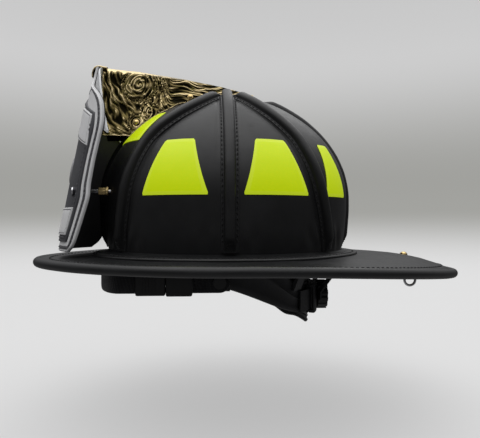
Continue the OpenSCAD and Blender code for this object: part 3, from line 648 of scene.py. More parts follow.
def reflective_films():
    parts, tags = [], []
    for i in range(1, 9):
        front_pair = i in FRONT_PANELS
        size = FRONT_FILM_SIZE if front_pair else REAR_FILM_SIZE if i in REAR_PANELS else 1.0
        rows = spread(FILM_STEPS, *(FRONT_FILM_ROWS if front_pair else FILM_ROWS))
        front, back = [], []
        for j, u in enumerate(rows):
            left, right = seam(i - 1, u), seam(i, u)
            s = j / FILM_STEPS
            ends = min(j, FILM_STEPS - j)
            half_mm = size * mix(FILM_BASE, FILM_TOP, s) / 2 - (0.0 if ends else 0.9)
            half = half_mm / per_degree((left + right) / 2, u) / (right - left)
            fs = [film_middle(i, s) - half * (2 * k / 24 - 1) for k in range(25)]
            from_edge = [min(k, 24 - k, ends) for k in range(25)]
            rim = [1.0 if steps < 2 else 0.0 for steps in from_edge]
            outer = [0.72 if steps else 0.52 for steps in from_edge]
            front.append([panel_surface(i, f, u, lift) for f, lift in zip(fs, outer)])
            back.append([panel_surface(i, f, u, 0.12) for f in fs])
            tags += rim + rim
        parts.append(sheet_solid(front, back))
    points, faces = join(parts)
    to_piece("reflective_film_pieces", points, faces, "film", "reflective_film",
             replaces=["reflective_trapezoids"], tags=tags)


# ---- Welt and brim -------------------------------------------------------------------------------

RING_STEPS = 288
WELT_STITCH = 10.6                  # from the crown's foot out to the welt's stitches
STITCH_IN = 9.2                     # from the brim's bead in to its stitches
ROLL_R = 4.0                        # the sewn roll, inside the bead's outermost and lowest lines


def bearings(closed=False):
    """Even bearings round the brim, with the first repeated at the end when closed."""
    return [360 * k / RING_STEPS for k in range(RING_STEPS + closed)]


def welt_top(a, grow):
    """Height of the welt's top at a distance out from the crown's foot."""
    s = (grow + LEATHER_T) / brim_reach(a)
    if grow < 3.2:
        return mix(-0.05, -1.1, (grow - 0.6) / 2.6)
    low = brim_top(a, s) + 0.15
    z = mix(-1.1, low + 2.0, (grow - 3.2) / (WELT_W - 4.2))
    return z - 0.5 * bell(grow, WELT_STITCH, 0.8)


def crown_welt():
    """Makes the welt and returns its stitches."""
    rings = []
    for a in bearings():
        wave = 0.35 * ripple(foot_point(a, 0), 24)

        def at(grow, z):
            p = foot_point(a, grow)
            return Vector((p.x, p.y, z))

        def under(grow):
            return brim_top(a, (grow + LEATHER_T) / brim_reach(a)) + 0.08
        ring = [at(-LEATHER_T, -0.05), at(0.2, -0.02)]
        ring += [at(g, welt_top(a, g))
                 for g in (1.4, 3.0, 5.0, 7.0, 8.6, 9.6, 10.1, WELT_STITCH, 11.1, 11.6, 12.6)]
        ring += [at(13.6 + wave, welt_top(a, 13.2) - 0.1), at(14.3 + wave, under(14.3) + 1.35),
                 at(WELT_W + wave, under(WELT_W) + 0.7), at(14.2 + wave, under(14.2)),
                 at(5.0, under(5.0)), at(-LEATHER_T, under(-LEATHER_T))]
        rings.append(ring)
    points, faces = skin(rings, looped=True)
    to_piece("crown_welt_leather", points, faces, "welt", "welt_leather",
             replaces=["crown_welt"], crease=60)
    path = []
    for a in bearings(closed=True):
        p = foot_point(a, WELT_STITCH)
        path.append(Vector((p.x, p.y, welt_top(a, WELT_STITCH) + 0.15)))
    return stitch_run(path, lambda q: Vector((0, 0, 1)), pitch=4.6, length=3.4, radius=0.5)


def brim_profile(a):
    """Section of the brim at a bearing: top, rolled edge, underside."""
    reach = brim_reach(a)
    edge, out = edge_point(a), edge_out(a)
    inner = foot_point(a, -LEATHER_T)
    ring = []
    insets = [reach * t for t in (1, 0.92, 0.84, 0.76, 0.68, 0.6, 0.52, 0.44, 0.37, 0.31, 0.26)]
    insets += [11.6, 10.6, 9.9, STITCH_IN, 8.5, 7.8, 6.9, 5.8]
    for d in insets:
        s = 1 - d / reach
        p = inner.lerp(edge, s)
        z = brim_top(a, s) - 0.5 * bell(d, STITCH_IN, 0.8) + 0.2 * bell(d, 6.5, 1.4)
        z += 0.45 * ripple((p.x, p.y, 0), 42) * min(1, d / 25) * min(1, s * 4)
        ring.append(Vector((p.x, p.y, z)))
    roll = ROLL_R + 0.12 * ripple((edge.x, edge.y, 50), 26)
    tuck = BEAD_R - ROLL_R
    for k in range(21):
        b = 138 - 276 * k / 20
        c = edge + out * (tuck + roll * cos_d(b))
        ring.append(Vector((c.x, c.y, bead_z(a) - tuck + roll * sin_d(b))))
    for d in reversed(insets):
        s = 1 - d / reach
        p = inner.lerp(edge, s)
        z = brim_top(a, s) - BRIM_T + 0.6 * bell(d, STITCH_IN, 0.9)
        ring.append(Vector((p.x, p.y, z)))
    return ring


def brim():
    """Makes the brim and returns the stitches on its top and underside."""
    points, faces = skin([brim_profile(a) for a in bearings()], looped=True)
    to_piece("brim_leather", points, faces, "brim", "brim_leather", replaces=["brim"], crease=60)
    runs = []
    for up in (1, -1):
        path = []
        for a in bearings(closed=True):
            s = 1 - STITCH_IN / brim_reach(a)
            p = foot_point(a, -LEATHER_T).lerp(edge_point(a), s)
            z = brim_top(a, s) - (0.15 if up > 0 else BRIM_T - 0.4)
            path.append(Vector((p.x, p.y, z)))
        runs.append(stitch_run(path, lambda q, n=up: Vector((0, 0, n)), pitch=5.0, length=3.7, radius=0.55))
    return join(runs)


# ---- Crest ---------------------------------------------------------------------------------------

CREST_FRONT, CREST_BACK, CREST_LOWEST, CREST_WALL = -116.5, 26.0, 105.0, 2.0
CREST_TOP = [(-126, 172.5), (-116.5, 171.6), (-83, 168.6), (-40, 162.3), (-6, 155.5), (26, 147)]
CREST_HALF = [(-118, 19), (-60, 12.9), (-20, 8), (26, 6)]
SWIRL = (-82.0, 155.0, 15.0)       # y, z and radius of the large curl of relief
CURL = (-72.0, 128.0, 8.5)
BOSS = (-84.0, 118.0, 7.5)
LOCK_W = 4.2                        # distance from one lock of the relief to the next


def crest_half(y):
    return lookup(y, CREST_HALF)


def crest_foot(y):
    return max(CREST_LOWEST, dome_z(crest_half(y), y) + 0.5)


def crest_top(y):
    return max(crest_foot(y) + 2, lookup(y, CREST_TOP))


def ridge(phase):
    """Rounded ridges with sharp valleys, one for each whole number of phase."""
    return abs(math.sin(math.pi * phase)) ** 0.85


def crest_relief(y, z):
    """Height from 0 to 1 of generic flowing locks at a place on the crest's flank."""
    bend = 3.4 * ripple((y, z, 3), 17) + 0.8 * ripple((y, z, 9), 6)
    sweep = math.sqrt(max(0.0, (y + 131) * (z - 88 + 0.12 * (y + 117)))) * 1.05
    trail = lookup(y, CREST_TOP) - z + 3.2 * math.sin(y / 9.5) + 0.22 * y
    flow = mix(sweep, trail, smooth((y + 84) / 34)) + bend
    for cy, cz, r in (SWIRL, CURL, BOSS):
        away = math.hypot(y - cy, z - cz)
        twist = 0.0 if r == BOSS[2] else LOCK_W * math.atan2(z - cz, y - cy) / (2 * math.pi)
        flow = mix(flow, away + twist + 0.5 * bend * (r > 10), smooth((1.22 - away / r) / 0.3))
    along = mix(y - z, y, smooth((y + 84) / 34))
    height = 0.0
    for number, (width, slant) in enumerate(((1.0, 0.0), (1.35, 0.16), (0.75, -0.13))):
        across = flow + slant * along
        seed = 20 * number
        lock = smooth(0.62 + 1.5 * ripple((across * 1.7, along * 0.5, seed), 9))
        waver = 0.45 * ripple((across, along * 0.4, seed + 7), 7)
        height = max(height, ridge(across / (LOCK_W * width) + waver) * mix(0.25, 1.0, lock))
    hairs = ridge(flow / (LOCK_W / 2.6) + 0.4 * ripple((y, z, 5), 4))
    return min(1.0, 0.86 * height + 0.14 * hairs)


def crest_section(y, t, inset):
    """Half width and height of the crest's flank at fraction t from its foot to its ridge."""
    foot, top = crest_foot(y), crest_top(y) - inset * 0.9
    half = crest_half(y) - inset
    x = lookup(t, [(0, half), (0.4, mix(half, 3.4, 0.55)), (0.93, max(0.9, 3.9 - inset)), (1, 0)])
    return x, mix(foot, top, t)


def crest_holder():
    steps = 66
    ts = [1 - (1 - k / steps) ** 1.15 for k in range(steps + 1)]
    rings, tags = [], []
    for y in spread(230, CREST_FRONT, CREST_BACK):
        outer, shades = [], []
        edge = smooth((y - CREST_FRONT) / 2.2) * smooth((CREST_BACK - y) / 3)
        for hand in (1, -1):
            side, side_tags = [], []
            for t in (ts if hand > 0 else reversed(ts[:-1])):
                x, z = crest_section(y, t, 0)
                rim = smooth(t / 0.035) * smooth((0.972 - t - 0.02 * ripple((y, 0, 40), 5)) / 0.03) * edge
                h = crest_relief(y, z)
                push = mix(0.6, 1.9 * h - 0.55, rim) * smooth((1 - t) / 0.03)
                knock = 0.7 * ripple((y, z, 30 * hand), 6) * (1 - rim)
                rise = 0.27 * (1 - rim) + 0.25 * knock if t > 0.5 else 0
                side.append(Vector((hand * (x + push + knock * 0.5), y, z + rise)))
                # the tag is 1.05 at the flank's foot and top edge, for a painted highlight there, and
                # follows the relief in between
                side_tags.append(mix(1.05, 0.1 + 0.95 * h, rim))
            outer += side
            shades += side_tags
        inner = []
        for t in spread(12):
            x, z = crest_section(y, t, CREST_WALL)
            inner.append(Vector((-x, y, z)))
        inner += [Vector((-p.x, p.y, p.z)) for p in reversed(inner[:-1])]
        rings.append(outer + inner)
        # the inner wall gets a tag of 0.3, which paints it near black as painted shade
        tags += shades + [0.3] * len(inner)
    lip, lip_tags = crest_lip()
    points, faces = join([skin(rings), lip])
    to_piece("crest_casting", points, faces, "crest", "crest_brass", replaces=["crest_holder"],
             crease=70, tags=tags + lip_tags)


def crest_lip():
    """Rolled lip that hooks forward and down over the top of the shield."""
    line = [(-113, 171.1), (-116, 171.3), (-118.5, 171.7), (-121.2, 171.6), (-123.6, 170.4), (-125.2, 167.6),
            (-125.9, 164.6), (-126, 162.2)]
    rings, tags = [], []
    for k, (y, z) in enumerate(line):
        y0, z0 = line[max(0, k - 1)]
        y1, z1 = line[min(len(line) - 1, k + 1)]
        ahead = Vector((0, y1 - y0, z1 - z0)).normalized()
        up = Vector((0, ahead.z, -ahead.y))
        half = mix(5.0, 8.0, smooth(k / 3)) * (0.9 if k == len(line) - 1 else 1)
        thick = mix(1.5, 0.9, k / 7)
        ring = []
        for c, s in turns(16):
            ring.append(Vector((half * squared(c, 0.6), y, z)) + up * thick * squared(s, 0.8))
            # tags give the lip's upper side a painted highlight and its underside painted shade
            tags.append(1.02 if s > -0.5 else 0.8)
        rings.append(ring)
    return skin(rings), tags


def dome_rivet(centre, out, radius, height):
    """Domed rivet head with a thin collar, standing on a surface."""
    out = out.normalized()
    side = out.orthogonal().normalized()
    up = out.cross(side)
    rings = []
    profile = [(1.25, -1.0), (1.25, 0.15), (1.2, 0.3), (1.02, 0.34)]
    profile += [(cos_d(q), 0.34 + (height / radius) * sin_d(q)) for q in (8, 22, 38, 54, 70, 84)]
    for r, h in profile:
        rings.append([centre + out * h * radius + (side * c + up * s) * r * radius for c, s in turns(24)])
    return skin(rings)


CREST_RIVETS = [(-84, 118), (-34, 143.5), (13, 147)]       # y and z


def crest_rivets():
    parts = []
    for y, z in CREST_RIVETS:
        t = (z - crest_foot(y)) / (crest_top(y) - crest_foot(y))
        x, _ = crest_section(y, t, 0)
        for hand in (1, -1):
            parts.append(dome_rivet(Vector((hand * (x + 1.0), y, z)), Vector((hand, 0, 0.25)), 2.1, 1.3))
    to_piece("crest_rivet_heads", *join(parts), "rivet", "rivet_brass", replaces=["crest_rivets"], crease=50)


# ---- Shield --------------------------------------------------------------------------------------

SHIELD_T, LAYER_T, LAYER_GAP, SHIELD_BORDER = 3.0, 1.1, 0.45, 9.0
SHIELD_LOW, SHIELD_HIGH, FIELD_HIGH = -1.0, 170.0, 141.0
FIELD_LOW = SHIELD_LOW + SHIELD_BORDER
SHIELD_HALF = [(-1, 40), (2, 46), (8, 50), (23, 56), (46, 64), (57, 63.5), (77, 66), (93, 69),
               (103, 71), (110, 70.5), (116, 69), (123, 66.3), (129, 62), (135, 55), (141, 45),
               (147, 31), (153, 18.5), (160, 14.5), (170, 13)]
SHIELD_R = [(0, 52), (46, 68), (103, 82), (160, 87)]
LIFT = SHIELD_T + LAYER_T + LAYER_GAP
TOP_PANEL_X, PATCH_Z, PATCH_R, PATCH_T = 58.0, 74.0, 14.0, 2.1
BACKING_X, BACKING_BACK, BACKING_FRONT = 74.0, -2.1, -0.6
BACKING_LOW = [(0, 118), (46, 114), (60, 107), (74, 98)]
BACKING_HIGH = [(9, 170), (19, 166), (28, 162), (37, 156), (46, 146), (55, 134), (61, 122),
                (69, 110), (74, 100)]
SCREW_X, SCREW_Z = 46.0, 52.0
OUTLINE_STEP = 3.0
BACK_TAG = -4.0                     # marks the back of a layer for its material


def shield_half(z):
    return sum(lookup(z + d, SHIELD_HALF) for d in (-2.5, -1.2, 0, 1.2, 2.5)) / 5


def shield_point(x, z, forward):
    return Vector((x, -154 + 32 * z / 155 + x * x / (2 * lookup(z, SHIELD_R)) - forward, z))


def eased(n):
    """n + 1 steps from 0 to 1, closer together at both ends."""
    return [0.5 - 0.5 * squared(cos_d(180 * k / n), 0.75) for k in range(n + 1)]


def layer(name, places, back, front, round_over, material, slot, replaces, relief=None):
    """A bent layer of the shield. places is a grid of (x, z, distance from the edge)."""
    fronts, backs, tags = [], [], []
    for row in places:
        hits = []
        for x, z, inset in row:
            r = min(1.0, inset / round_over)
            up = mix(0.25, 1.0, math.sqrt(max(0.0, 1 - (1 - r) ** 2)))
            high = mix(back, front, up) + (relief(x, z, inset) if relief else 0)
            hits.append(shield_point(x, z, high))
        fronts.append(hits)
        backs.append([shield_point(x, z, back) for x, z, _ in row])
        tags += [inset for _, _, inset in row] + [BACK_TAG] * len(row)
    points, faces = sheet_solid(fronts, backs)
    to_piece(name, points, faces, material, slot, replaces=replaces, tags=tags, crease=50)


def rows_of_places(low, high, half_at, cols, rows):
    """Places in level rows, as wide as half_at says at each height."""
    grid = []
    for r in eased(rows):
        z = mix(low, high, r)
        half = half_at(z)
        grid.append([(half * (2 * c - 1), z, min(half * min(2 * c, 2 - 2 * c), z - low, high - z))
                     for c in eased(cols)])
    return grid


def columns_of_places(x_out, low_at, high_at, cols, rows):
    """Places in upright columns, whose ends depend on the distance from the middle."""
    grid = []
    for c in eased(cols):
        x = x_out * (2 * c - 1)
        low, high = low_at(abs(x)), high_at(abs(x))
        zs = [mix(low, high, r) for r in eased(rows)]
        grid.append([(x, z, min(x_out - abs(x), z - low, high - z)) for z in zs])
    return grid


def disc_of_places(centre, radius, steps):
    """Places in level rows across a disc."""
    grid = []
    for r in eased(steps):
        up = radius * (2 * r - 1) * 0.999
        half = math.sqrt(radius ** 2 - up ** 2)
        xs = [half * (2 * c - 1) for c in eased(steps)]
        grid.append([(x, centre + up, radius - math.hypot(x, up)) for x in xs])
    return grid


def outline_of(low, high, half_at, inset, forward):
    """Closed line round a layer, inset from its edge."""
    zs = spread(int((high - low) / OUTLINE_STEP), low + inset, high - inset)
    left = [(-(half_at(z) - inset), z) for z in zs]
    top = half_at(zs[-1]) - inset
    over = [(x, zs[-1]) for x in spread(int(top / 2), -top, top)][1:-1]
    foot = half_at(zs[0]) - inset
    under = [(x, zs[0]) for x in spread(int(foot / 2), foot, -foot)][1:]
    line = left + over + [(-x, z) for x, z in reversed(left)] + under
    return [shield_point(x, z, forward) for x, z in line]


def field_half(z):
    return min(shield_half(z) - SHIELD_BORDER, 2.2 * (FIELD_HIGH - z) + 8)


def shield_layers():
    """The border and field, two blank panels, the round patch and the backing plate."""
    groove = lambda x, z, inset: -0.55 * bell(inset, 2.9, 0.7) + 0.18 * ripple((x, 0, z), 30)
    layer("shield_base_leather", rows_of_places(SHIELD_LOW, SHIELD_HIGH, shield_half, 56, 120),
          0, SHIELD_T, 1.7, "border", "shield_border_leather", ["shield_base"], groove)
    tooled = lambda x, z, inset: -0.35 * bell(inset, 1.9, 0.6) - 0.25 * bell(inset, 6.0, 0.6)
    layer("shield_field_leather", rows_of_places(FIELD_LOW, FIELD_HIGH, field_half, 50, 100),
          SHIELD_T - 0.1, LIFT, 0.9, "field", "shield_field_leather", ["shield_field"], tooled)

    framed = lambda x, z, inset: -0.3 * bell(inset, 2.0, 0.5)
    top_low = lambda x: mix(112, 90, x / TOP_PANEL_X)
    top_high = lambda x: mix(131, 116, (x / TOP_PANEL_X) ** 2)
    bottom_half = lambda z: shield_half(z) - SHIELD_BORDER - 3
    for which, places in (("top", columns_of_places(TOP_PANEL_X, top_low, top_high, 64, 24)),
                          ("bottom", rows_of_places(14, 38, bottom_half, 60, 26))):
        layer(f"shield_{which}_panel_leather", places, LIFT - 0.1, LIFT + LAYER_T, 0.8, "panel",
              "shield_panel_leather", [f"shield_{which}_panel"], framed)

    boss = lambda x, z, inset: -0.5 * bell(inset, 3.4, 0.7) + 0.25 * smooth((inset - 4) / 5)
    layer("shield_centre_boss", disc_of_places(PATCH_Z, PATCH_R, 30), LIFT - 0.1, LIFT + PATCH_T, 1.6,
          "patch", "shield_patch_leather", ["shield_centre_patch"], boss)
    plate_low = lambda x: lookup(x, BACKING_LOW)
    plate_high = lambda x: lookup(x, BACKING_HIGH)
    layer("shield_backing_plate_metal", columns_of_places(BACKING_X, plate_low, plate_high, 90, 30),
          BACKING_BACK, BACKING_FRONT, 0.7, "backing", "backing_plate_metal", ["shield_backing_plate"])


def shield_fittings():
    """Stitches of the border and the field, and the heads of the two posts."""
    ahead = lambda q: Vector((q.x / 70, -1, 0.2)).normalized()
    line = outline_of(SHIELD_LOW, SHIELD_HIGH - 24, shield_half, 3.7, SHIELD_T + 0.05)
    to_piece("shield_border_stitching", *stitch_run(line, ahead, 4.4, 3.0, 0.42), "grey_thread",
             "shield_border_leather")
    line = outline_of(FIELD_LOW, FIELD_HIGH - 2, field_half, 3.9, LIFT + 0.05)
    to_piece("shield_field_stitching", *stitch_run(line, ahead, 4.0, 2.8, 0.4), "grey_thread",
             "shield_field_leather")
    heads = []
    for hand in (1, -1):
        p = shield_point(hand * SCREW_X, SCREW_Z, LIFT + 0.2)
        heads.append(dome_rivet(p, Vector((hand * 0.35, -1, 0.1)), 3.3, 1.1))
    to_piece("shield_screw_heads", *join(heads), "dark_steel", "post_steel", crease=50)


# ---- Inside of the helmet ------------------------------------------------------------------------

DOME_COLS, DOME_ROWS, DOME_TOP = 120, 60, 0.975
LINER_DEPTH = 19.0                  # from the crown's outside to the liner's inside
LINER_R, LINER_RISE = 90.0, 190.0   # distance out to the liner, and along it from foot to top


def dome_solid(outer, inner, low_u, relief=None):
    """Points and faces of a dome between two depths inside the crown's outside."""
    us = spread(DOME_ROWS, DOME_TOP, low_u)
    rings = [[crown_point(-360 * k / DOME_COLS, u, outer) for k in range(DOME_COLS)] for u in us]
    for u in reversed(us):
        ring = []
        for k in range(DOME_COLS):
            a = -360 * k / DOME_COLS
            p = crown_point(a, u, inner)
            dent = relief(p, a % 360, u) if relief else 0.3 * ripple(p, 30)
            edge = smooth((u - low_u) / 0.02)
            ring.append(p + crown_normal(a, u) * dent * edge)
        rings.append(ring)
    return skin(rings)


def liner_relief(p, a, u):
    """Cut channels between the liner's foam blocks, and the softness of each block."""
    spoke = math.radians(abs((a + 22.5) % 45 - 22.5)) * row_scale(u) * LINER_R
    hoop = min(abs(u - 0.52), abs(u - 0.74)) * LINER_RISE
    fade = smooth((0.93 - u) / 0.08)
    channel = 4.0 * bell(spoke, 0, 2.0) * fade + 4.0 * bell(hoop, 0, 2.2)
    return min(channel, 4.2) + 0.5 * ripple(p, 12)


def strip(path, across, width, thick, name, material, slot, body, replaces, round_end=False):
    """Flat webbing along a path, with its width along the vector across and slightly thick edges."""
    rings = []
    for k, p in enumerate(path):
        ahead = (path[min(k + 1, len(path) - 1)] - path[max(k - 1, 0)]).normalized()
        wide = (across - ahead * across.dot(ahead)).normalized()
        out = ahead.cross(wide)
        half = width / 2
        left = (p - path[0]).length
        if round_end and left < half:
            half = math.sqrt(max(0.4, half ** 2 - (half - left) ** 2))
        ring = []
        for c, s in turns(20):
            edge = 1.12 if abs(c) > 0.85 else 1.0
            ring.append(p + wide * half * squared(c, 0.35) + out * thick / 2 * squared(s, 0.7) * edge)
        rings.append(ring)
    points, faces = skin(rings)
    to_piece(name, points, faces, material, slot, body, replaces, crease=60)


KEY_BEARING, KEY_Z = 44, 16
KEY_PLACE = crown_point(KEY_BEARING, 0.1, 7)
KEY_DIR = math.degrees(math.atan2(KEY_PLACE.x, -KEY_PLACE.y))
STRAP_REACH = crown_point(KEY_BEARING, 0.1, 7.4).xy.length - 4.4
STRAP_W, STRAP_T = 20.0, 1.5
STRAP_TOPS = {"a": 98.0, "b": 100.2}       # strap b lies on strap a


def crown_straps():
    threads = []
    for letter, hand in (("a", 1), ("b", -1)):
        name = f"crown_strap_{letter}"
        spin = Matrix.Rotation(math.radians(hand * KEY_DIR - 90), 3, "Z")
        low = KEY_Z - 8
        high = STRAP_TOPS[letter] - low
        path = []
        for b in range(0, 181, 2):
            out = Vector((cos_d(b), 0, sin_d(b)))
            path.append(spin @ (Vector((STRAP_REACH * out.x, 0, low + high * out.z)) - out * 0.8))
        strip(path, spin @ Vector((0, 1, 0)), STRAP_W, STRAP_T, name + "_webbing", "webbing",
              "webbing_grey", "helmet", [name])
        for end in (path[2:9], path[-9:-2]):
            inward = -Vector((end[0].x, end[0].y, 0)).normalized()
            for off in (-8.2, 8.2):
                line = [p + spin @ Vector((0, off, 0)) + inward * 0.8 for p in end]
                threads.append(stitch_run(line, lambda q, n=inward: n, 2.6, 1.9, 0.3))
    to_piece("crown_strap_stitching", *join(threads), "grey_thread", "webbing_grey")


ARC_Y, ARC_R, BAND_X, BAND_Y, BAND_T, BAND_CY, RATCHET_Z = 11.0, 68.0, 80.0, 90.0, 1.6, -8.0, -45.0
BAND_SECTION = [(0, 0.5), (0.02, 1.45), (0.06, 1.6), (0.13, 1.6), (0.17, 1.1), (0.47, 1.1), (0.5, 1.45),
                (0.53, 1.1), (0.83, 1.1), (0.87, 1.6), (0.94, 1.6), (0.98, 1.45), (1, 0.5), (0.98, 0.0),
                (0.5, 0.0), (0.02, 0.0)]       # fraction of the height, and millimetres out
PAD_STEPS, PAD_SIDES = 110, 56


def signed(q):
    """A bearing from 0 to 360 as one from -180 to 180."""
    return q - 360 if q > 180 else q


def band_reach(q):
    """Distance from the ratchet's centre to the band's inside, at q degrees from the rear."""
    shift = ARC_Y - BAND_CY
    a = (sin_d(q) / (BAND_X - BAND_T)) ** 2 + (cos_d(q) / (BAND_Y - BAND_T)) ** 2
    b = 2 * shift * cos_d(q) / (BAND_Y - BAND_T) ** 2
    c = (shift / (BAND_Y - BAND_T)) ** 2 - 1
    return mix(ARC_R, (-b + math.sqrt(b * b - 4 * a * c)) / (2 * a), smooth((q - 48) / 30))


def band_low(q):
    return mix(RATCHET_Z - 9, -23.5, smooth((q - 38) / 84))


def band_top(q):
    return mix(RATCHET_Z + 9, 7.5, smooth((q - 30) / 60))


def arc_point(q, r, z):
    """Point at signed angle q from the rear, r from the ratchet's arc centre."""
    return Vector((r * sin_d(q), ARC_Y + r * cos_d(q), z))


def headband():
    rings = []
    for q in spread(180, 38, 322):
        w = signed(q)
        r, low, high = band_reach(abs(w)), band_low(abs(w)), band_top(abs(w))
        rings.append([arc_point(w, r + out, mix(low, high, s)) for s, out in BAND_SECTION])
    to_piece("headband_moulding", *skin(rings), "moulded", "moulded_plastic", replaces=["headband"])


def pad_rings(q0, q1, section, channels):
    """Sections of a crowned pad, drawn in along its channels and its ends."""
    rings = []
    for k, q in enumerate(spread(PAD_STEPS, q0, q1)):
        w = signed(q)
        inner, outer, low, high = section(w)
        end = max(0.12, math.sqrt(max(0.0, 1 - (2 * k / PAD_STEPS - 1) ** 8)))
        mid_z, half_z = (low + high) / 2, (high - low) / 2 * mix(0.86, 1, end)
        ring = []
        for c, s in turns(PAD_SIDES):
            z = mid_z + half_z * squared(s, 0.55)
            crown = squared(c, 0.5)
            fold = sum(bell(z, low + (high - low) * line, 1.5) for line in channels)
            fold += 0.9 * bell((q - q0) * 1.2, 5.0, 1.3) + 0.9 * bell((q1 - q) * 1.2, 5.0, 1.3)
            fold = min(1.0, fold)
            if crown > 0:
                r = outer - 0.35 * (outer - inner) * (1 - crown) - 0.6 * fold
            else:
                soft = 1 - 0.42 * fold + 0.07 * ripple((w, z, 4), 8)
                r = outer + (outer - inner) * crown * end * soft
            ring.append(arc_point(w, r, z))
        rings.append(ring)
    return rings


def pad_threads(q0, q1, section, channels):
    """Stitches along both faces of a pad's channels."""
    threads = []
    for line in channels:
        for hand in (-1, 1):
            path = []
            for q in spread(90, q0 + 3, q1 - 3):
                inner, outer, low, high = section(signed(q))
                depth = outer - 0.55 if hand > 0 else outer - (outer - inner) * 0.60
                path.append(arc_point(signed(q), depth, mix(low, high, line)))
            out = lambda q, h=hand: Vector((q.x, q.y - ARC_Y, 0)).normalized() * h
            threads.append(stitch_run(path, out, 3.8, 2.7, 0.42))
    return threads


def pad_piping(q0, q1, section, radius):
    """Corded edge all round a pad."""
    def at(q, share, above=0.0, beside=0.0):
        _, outer, low, high = section(q)
        return arc_point(q + beside, outer - 1.9, mix(low, high, share) + above)
    lead = 1.5
    loop = [at(q, 1, above=0.2) for q in spread(60, q0 + lead, q1 - lead)]
    loop += [at(q1, share, beside=0.4) for share in spread(16, 0.96, 0.04)]
    loop += [at(q, 0, above=-0.2) for q in spread(60, q1 - lead, q0 + lead)]
    loop += [at(q0, share, beside=-0.4) for share in spread(16, 0.04, 0.96)]
    return tube(loop, radius, 10, looped=True)


def arc_pad(name, q0, q1, section, material, slot, replaces, channels):
    """Crowned, stitched pad along the band. section(q) gives inner and outer radius, foot and top."""
    rings = pad_rings(q0, q1, section, channels)
    pad = to_piece(name, *skin(rings), material, slot, replaces=replaces, crease=80)
    return pad_threads(q0, q1, section, channels)


def pads():
    brow = lambda w: (band_reach(abs(w)) - 5.0, band_reach(abs(w)) - 0.2, -22.0, 6.0)
    threads = arc_pad("brow_pad_leather", 132, 228, brow, "pad", "pad_leather", ["brow_pad"],
                      (0.12, 0.88))
    to_piece("brow_pad_stitching", *join(threads), "grey_thread", "pad_leather")
    low = [(0, -68.7), (18, -66.7), (30, -61.5), (42, -56), (54, -53), (66, -43)]
    nape = lambda w: (60.8, 67.8, sum(lookup(abs(w) + d, low) for d in (-3, 0, 3)) / 3, -26.0)
    threads = arc_pad("nape_pad_leather", -66, 66, nape, "nape", "nape_leather", ["nape_pad"],
                      (0.1, 0.5, 0.9))
    threads.append(pad_piping(-66, 66, nape, 1.5))
    to_piece("nape_pad_stitching", *join(threads), "thread", "nape_leather")


def inside():
    cap = dome_solid(LEATHER_T + 0.5, LEATHER_T + 3, 0.02)
    to_piece("inner_shell_moulding", *cap, "shell", "inner_shell_composite", replaces=["inner_shell"])
    liner = dome_solid(LEATHER_T + 3.8, LINER_DEPTH, 0.37, liner_relief)
    foam = to_piece("impact_liner_foam", *liner, "foam", "liner_foam", replaces=["impact_liner"], crease=70)
    crown_straps()
    headband()
    pads()


# ---- Ear laps ------------------------------------------------------------------------------------

LAP_DEPTH, LAP_T, LAP_LOW, LAP_HIGH = 10.9, 1.5, -4.0, 56.0
LAP_H = LAP_HIGH - LAP_LOW


def ear_lap(side, body):
    """One flap of flannel, curved between the headband and the shell, with round lower corners."""
    def at(f, v, offset):
        a = side * mix(58.5, 117.5, f)
        corner = max(0.0, (abs(2 * f - 1) - 0.62) / 0.38) ** 2.4
        z = mix(LAP_LOW + 15 * corner, LAP_HIGH, v)
        away = LAP_DEPTH + 0.45 * math.sin(f * 17 + 2.0 * v) * mix(1.0, 0.3, v) + offset
        return Vector(((CROWN_W / 2 - away) * sin_d(a), -(CROWN_L / 2 - away) * cos_d(a), z))
    fs, vs = spread(64), spread(40)
    thick = lambda f, v: LAP_T / 2 * mix(0.55, 1.0, min(1, min(f, 1 - f) * 25) * min(1, min(v, 1 - v) * 18))
    hem = lambda f, v: -0.25 * bell(min(min(f, 1 - f) * 100, min(v, 1 - v) * 58), 5.0, 0.8)
    front = [[at(f, v, -thick(f, v) - hem(f, v)) for f in fs] for v in vs]
    back = [[at(f, v, thick(f, v)) for f in fs] for v in vs]
    word = "left" if side > 0 else "right"
    points, faces = sheet_solid(front, back)
    lap = to_piece(f"ear_lap_{word}_cloth", points, faces, "lap", "lap_fabric", body,
                   [f"ear_lap_{word}"], 70)
    line = [at(0.05, v, -LAP_T / 2) for v in spread(20, 0.92, 0.1)]
    line += [at(f, 0.08, -LAP_T / 2) for f in spread(80, 0.05, 0.95)]
    line += [at(0.95, v, -LAP_T / 2) for v in spread(20, 0.1, 0.92)]
    out = lambda q: Vector((q.x, q.y, 0)).normalized()
    hem = stitch_run(line, out, 3.6, 2.6, 0.32)
    hem_thread = to_piece(f"ear_lap_{word}_stitching", *hem, "grey_thread", "lap_fabric", body)
    middle = front[len(front) // 2]
    length = sum((b - a).length for a, b in zip(middle, middle[1:])) * MM
    area = 0.0
    for lower, upper in zip(front, front[1:]):
        for k in range(len(lower) - 1):
            area += (lower[k + 1] - lower[k]).cross(upper[k] - lower[k]).length * MM * MM
    flat = (round(length, 3), LAP_H * MM)
    area = round(min(area, flat[0] * flat[1]), 5)


# ---- Chin strap ----------------------------------------------------------------------------------

LOOP_X, WEB_W, WEB_T, PIVOT_Y, PIVOT_Z, BEND_Y, BEND_L = 100.0, 16.0, 1.8, -8.0, -21.0, -84.0, 27.0
STRAP_START, STRAP_LEFT_END = -66.0, -28.9


def box_stitch(x, y0, y1, face):
    """Sewn box with a cross, on one face of the webbing at the side of the head."""
    corners = [(y0, -5.6), (y1, -5.6), (y1, 5.6), (y0, 5.6), (y0, -5.6)]
    out = Vector((face, 0, 0))
    runs = []
    for line in (corners, [(y0, -5.6), (y1, 5.6)], [(y1, -5.6), (y0, 5.6)]):
        path = [Vector((x + face * 0.85, y, PIVOT_Z + z)) for y, z in line]
        runs.append(stitch_run(path, lambda q: out, 2.4, 1.8, 0.3))
    return join(runs)


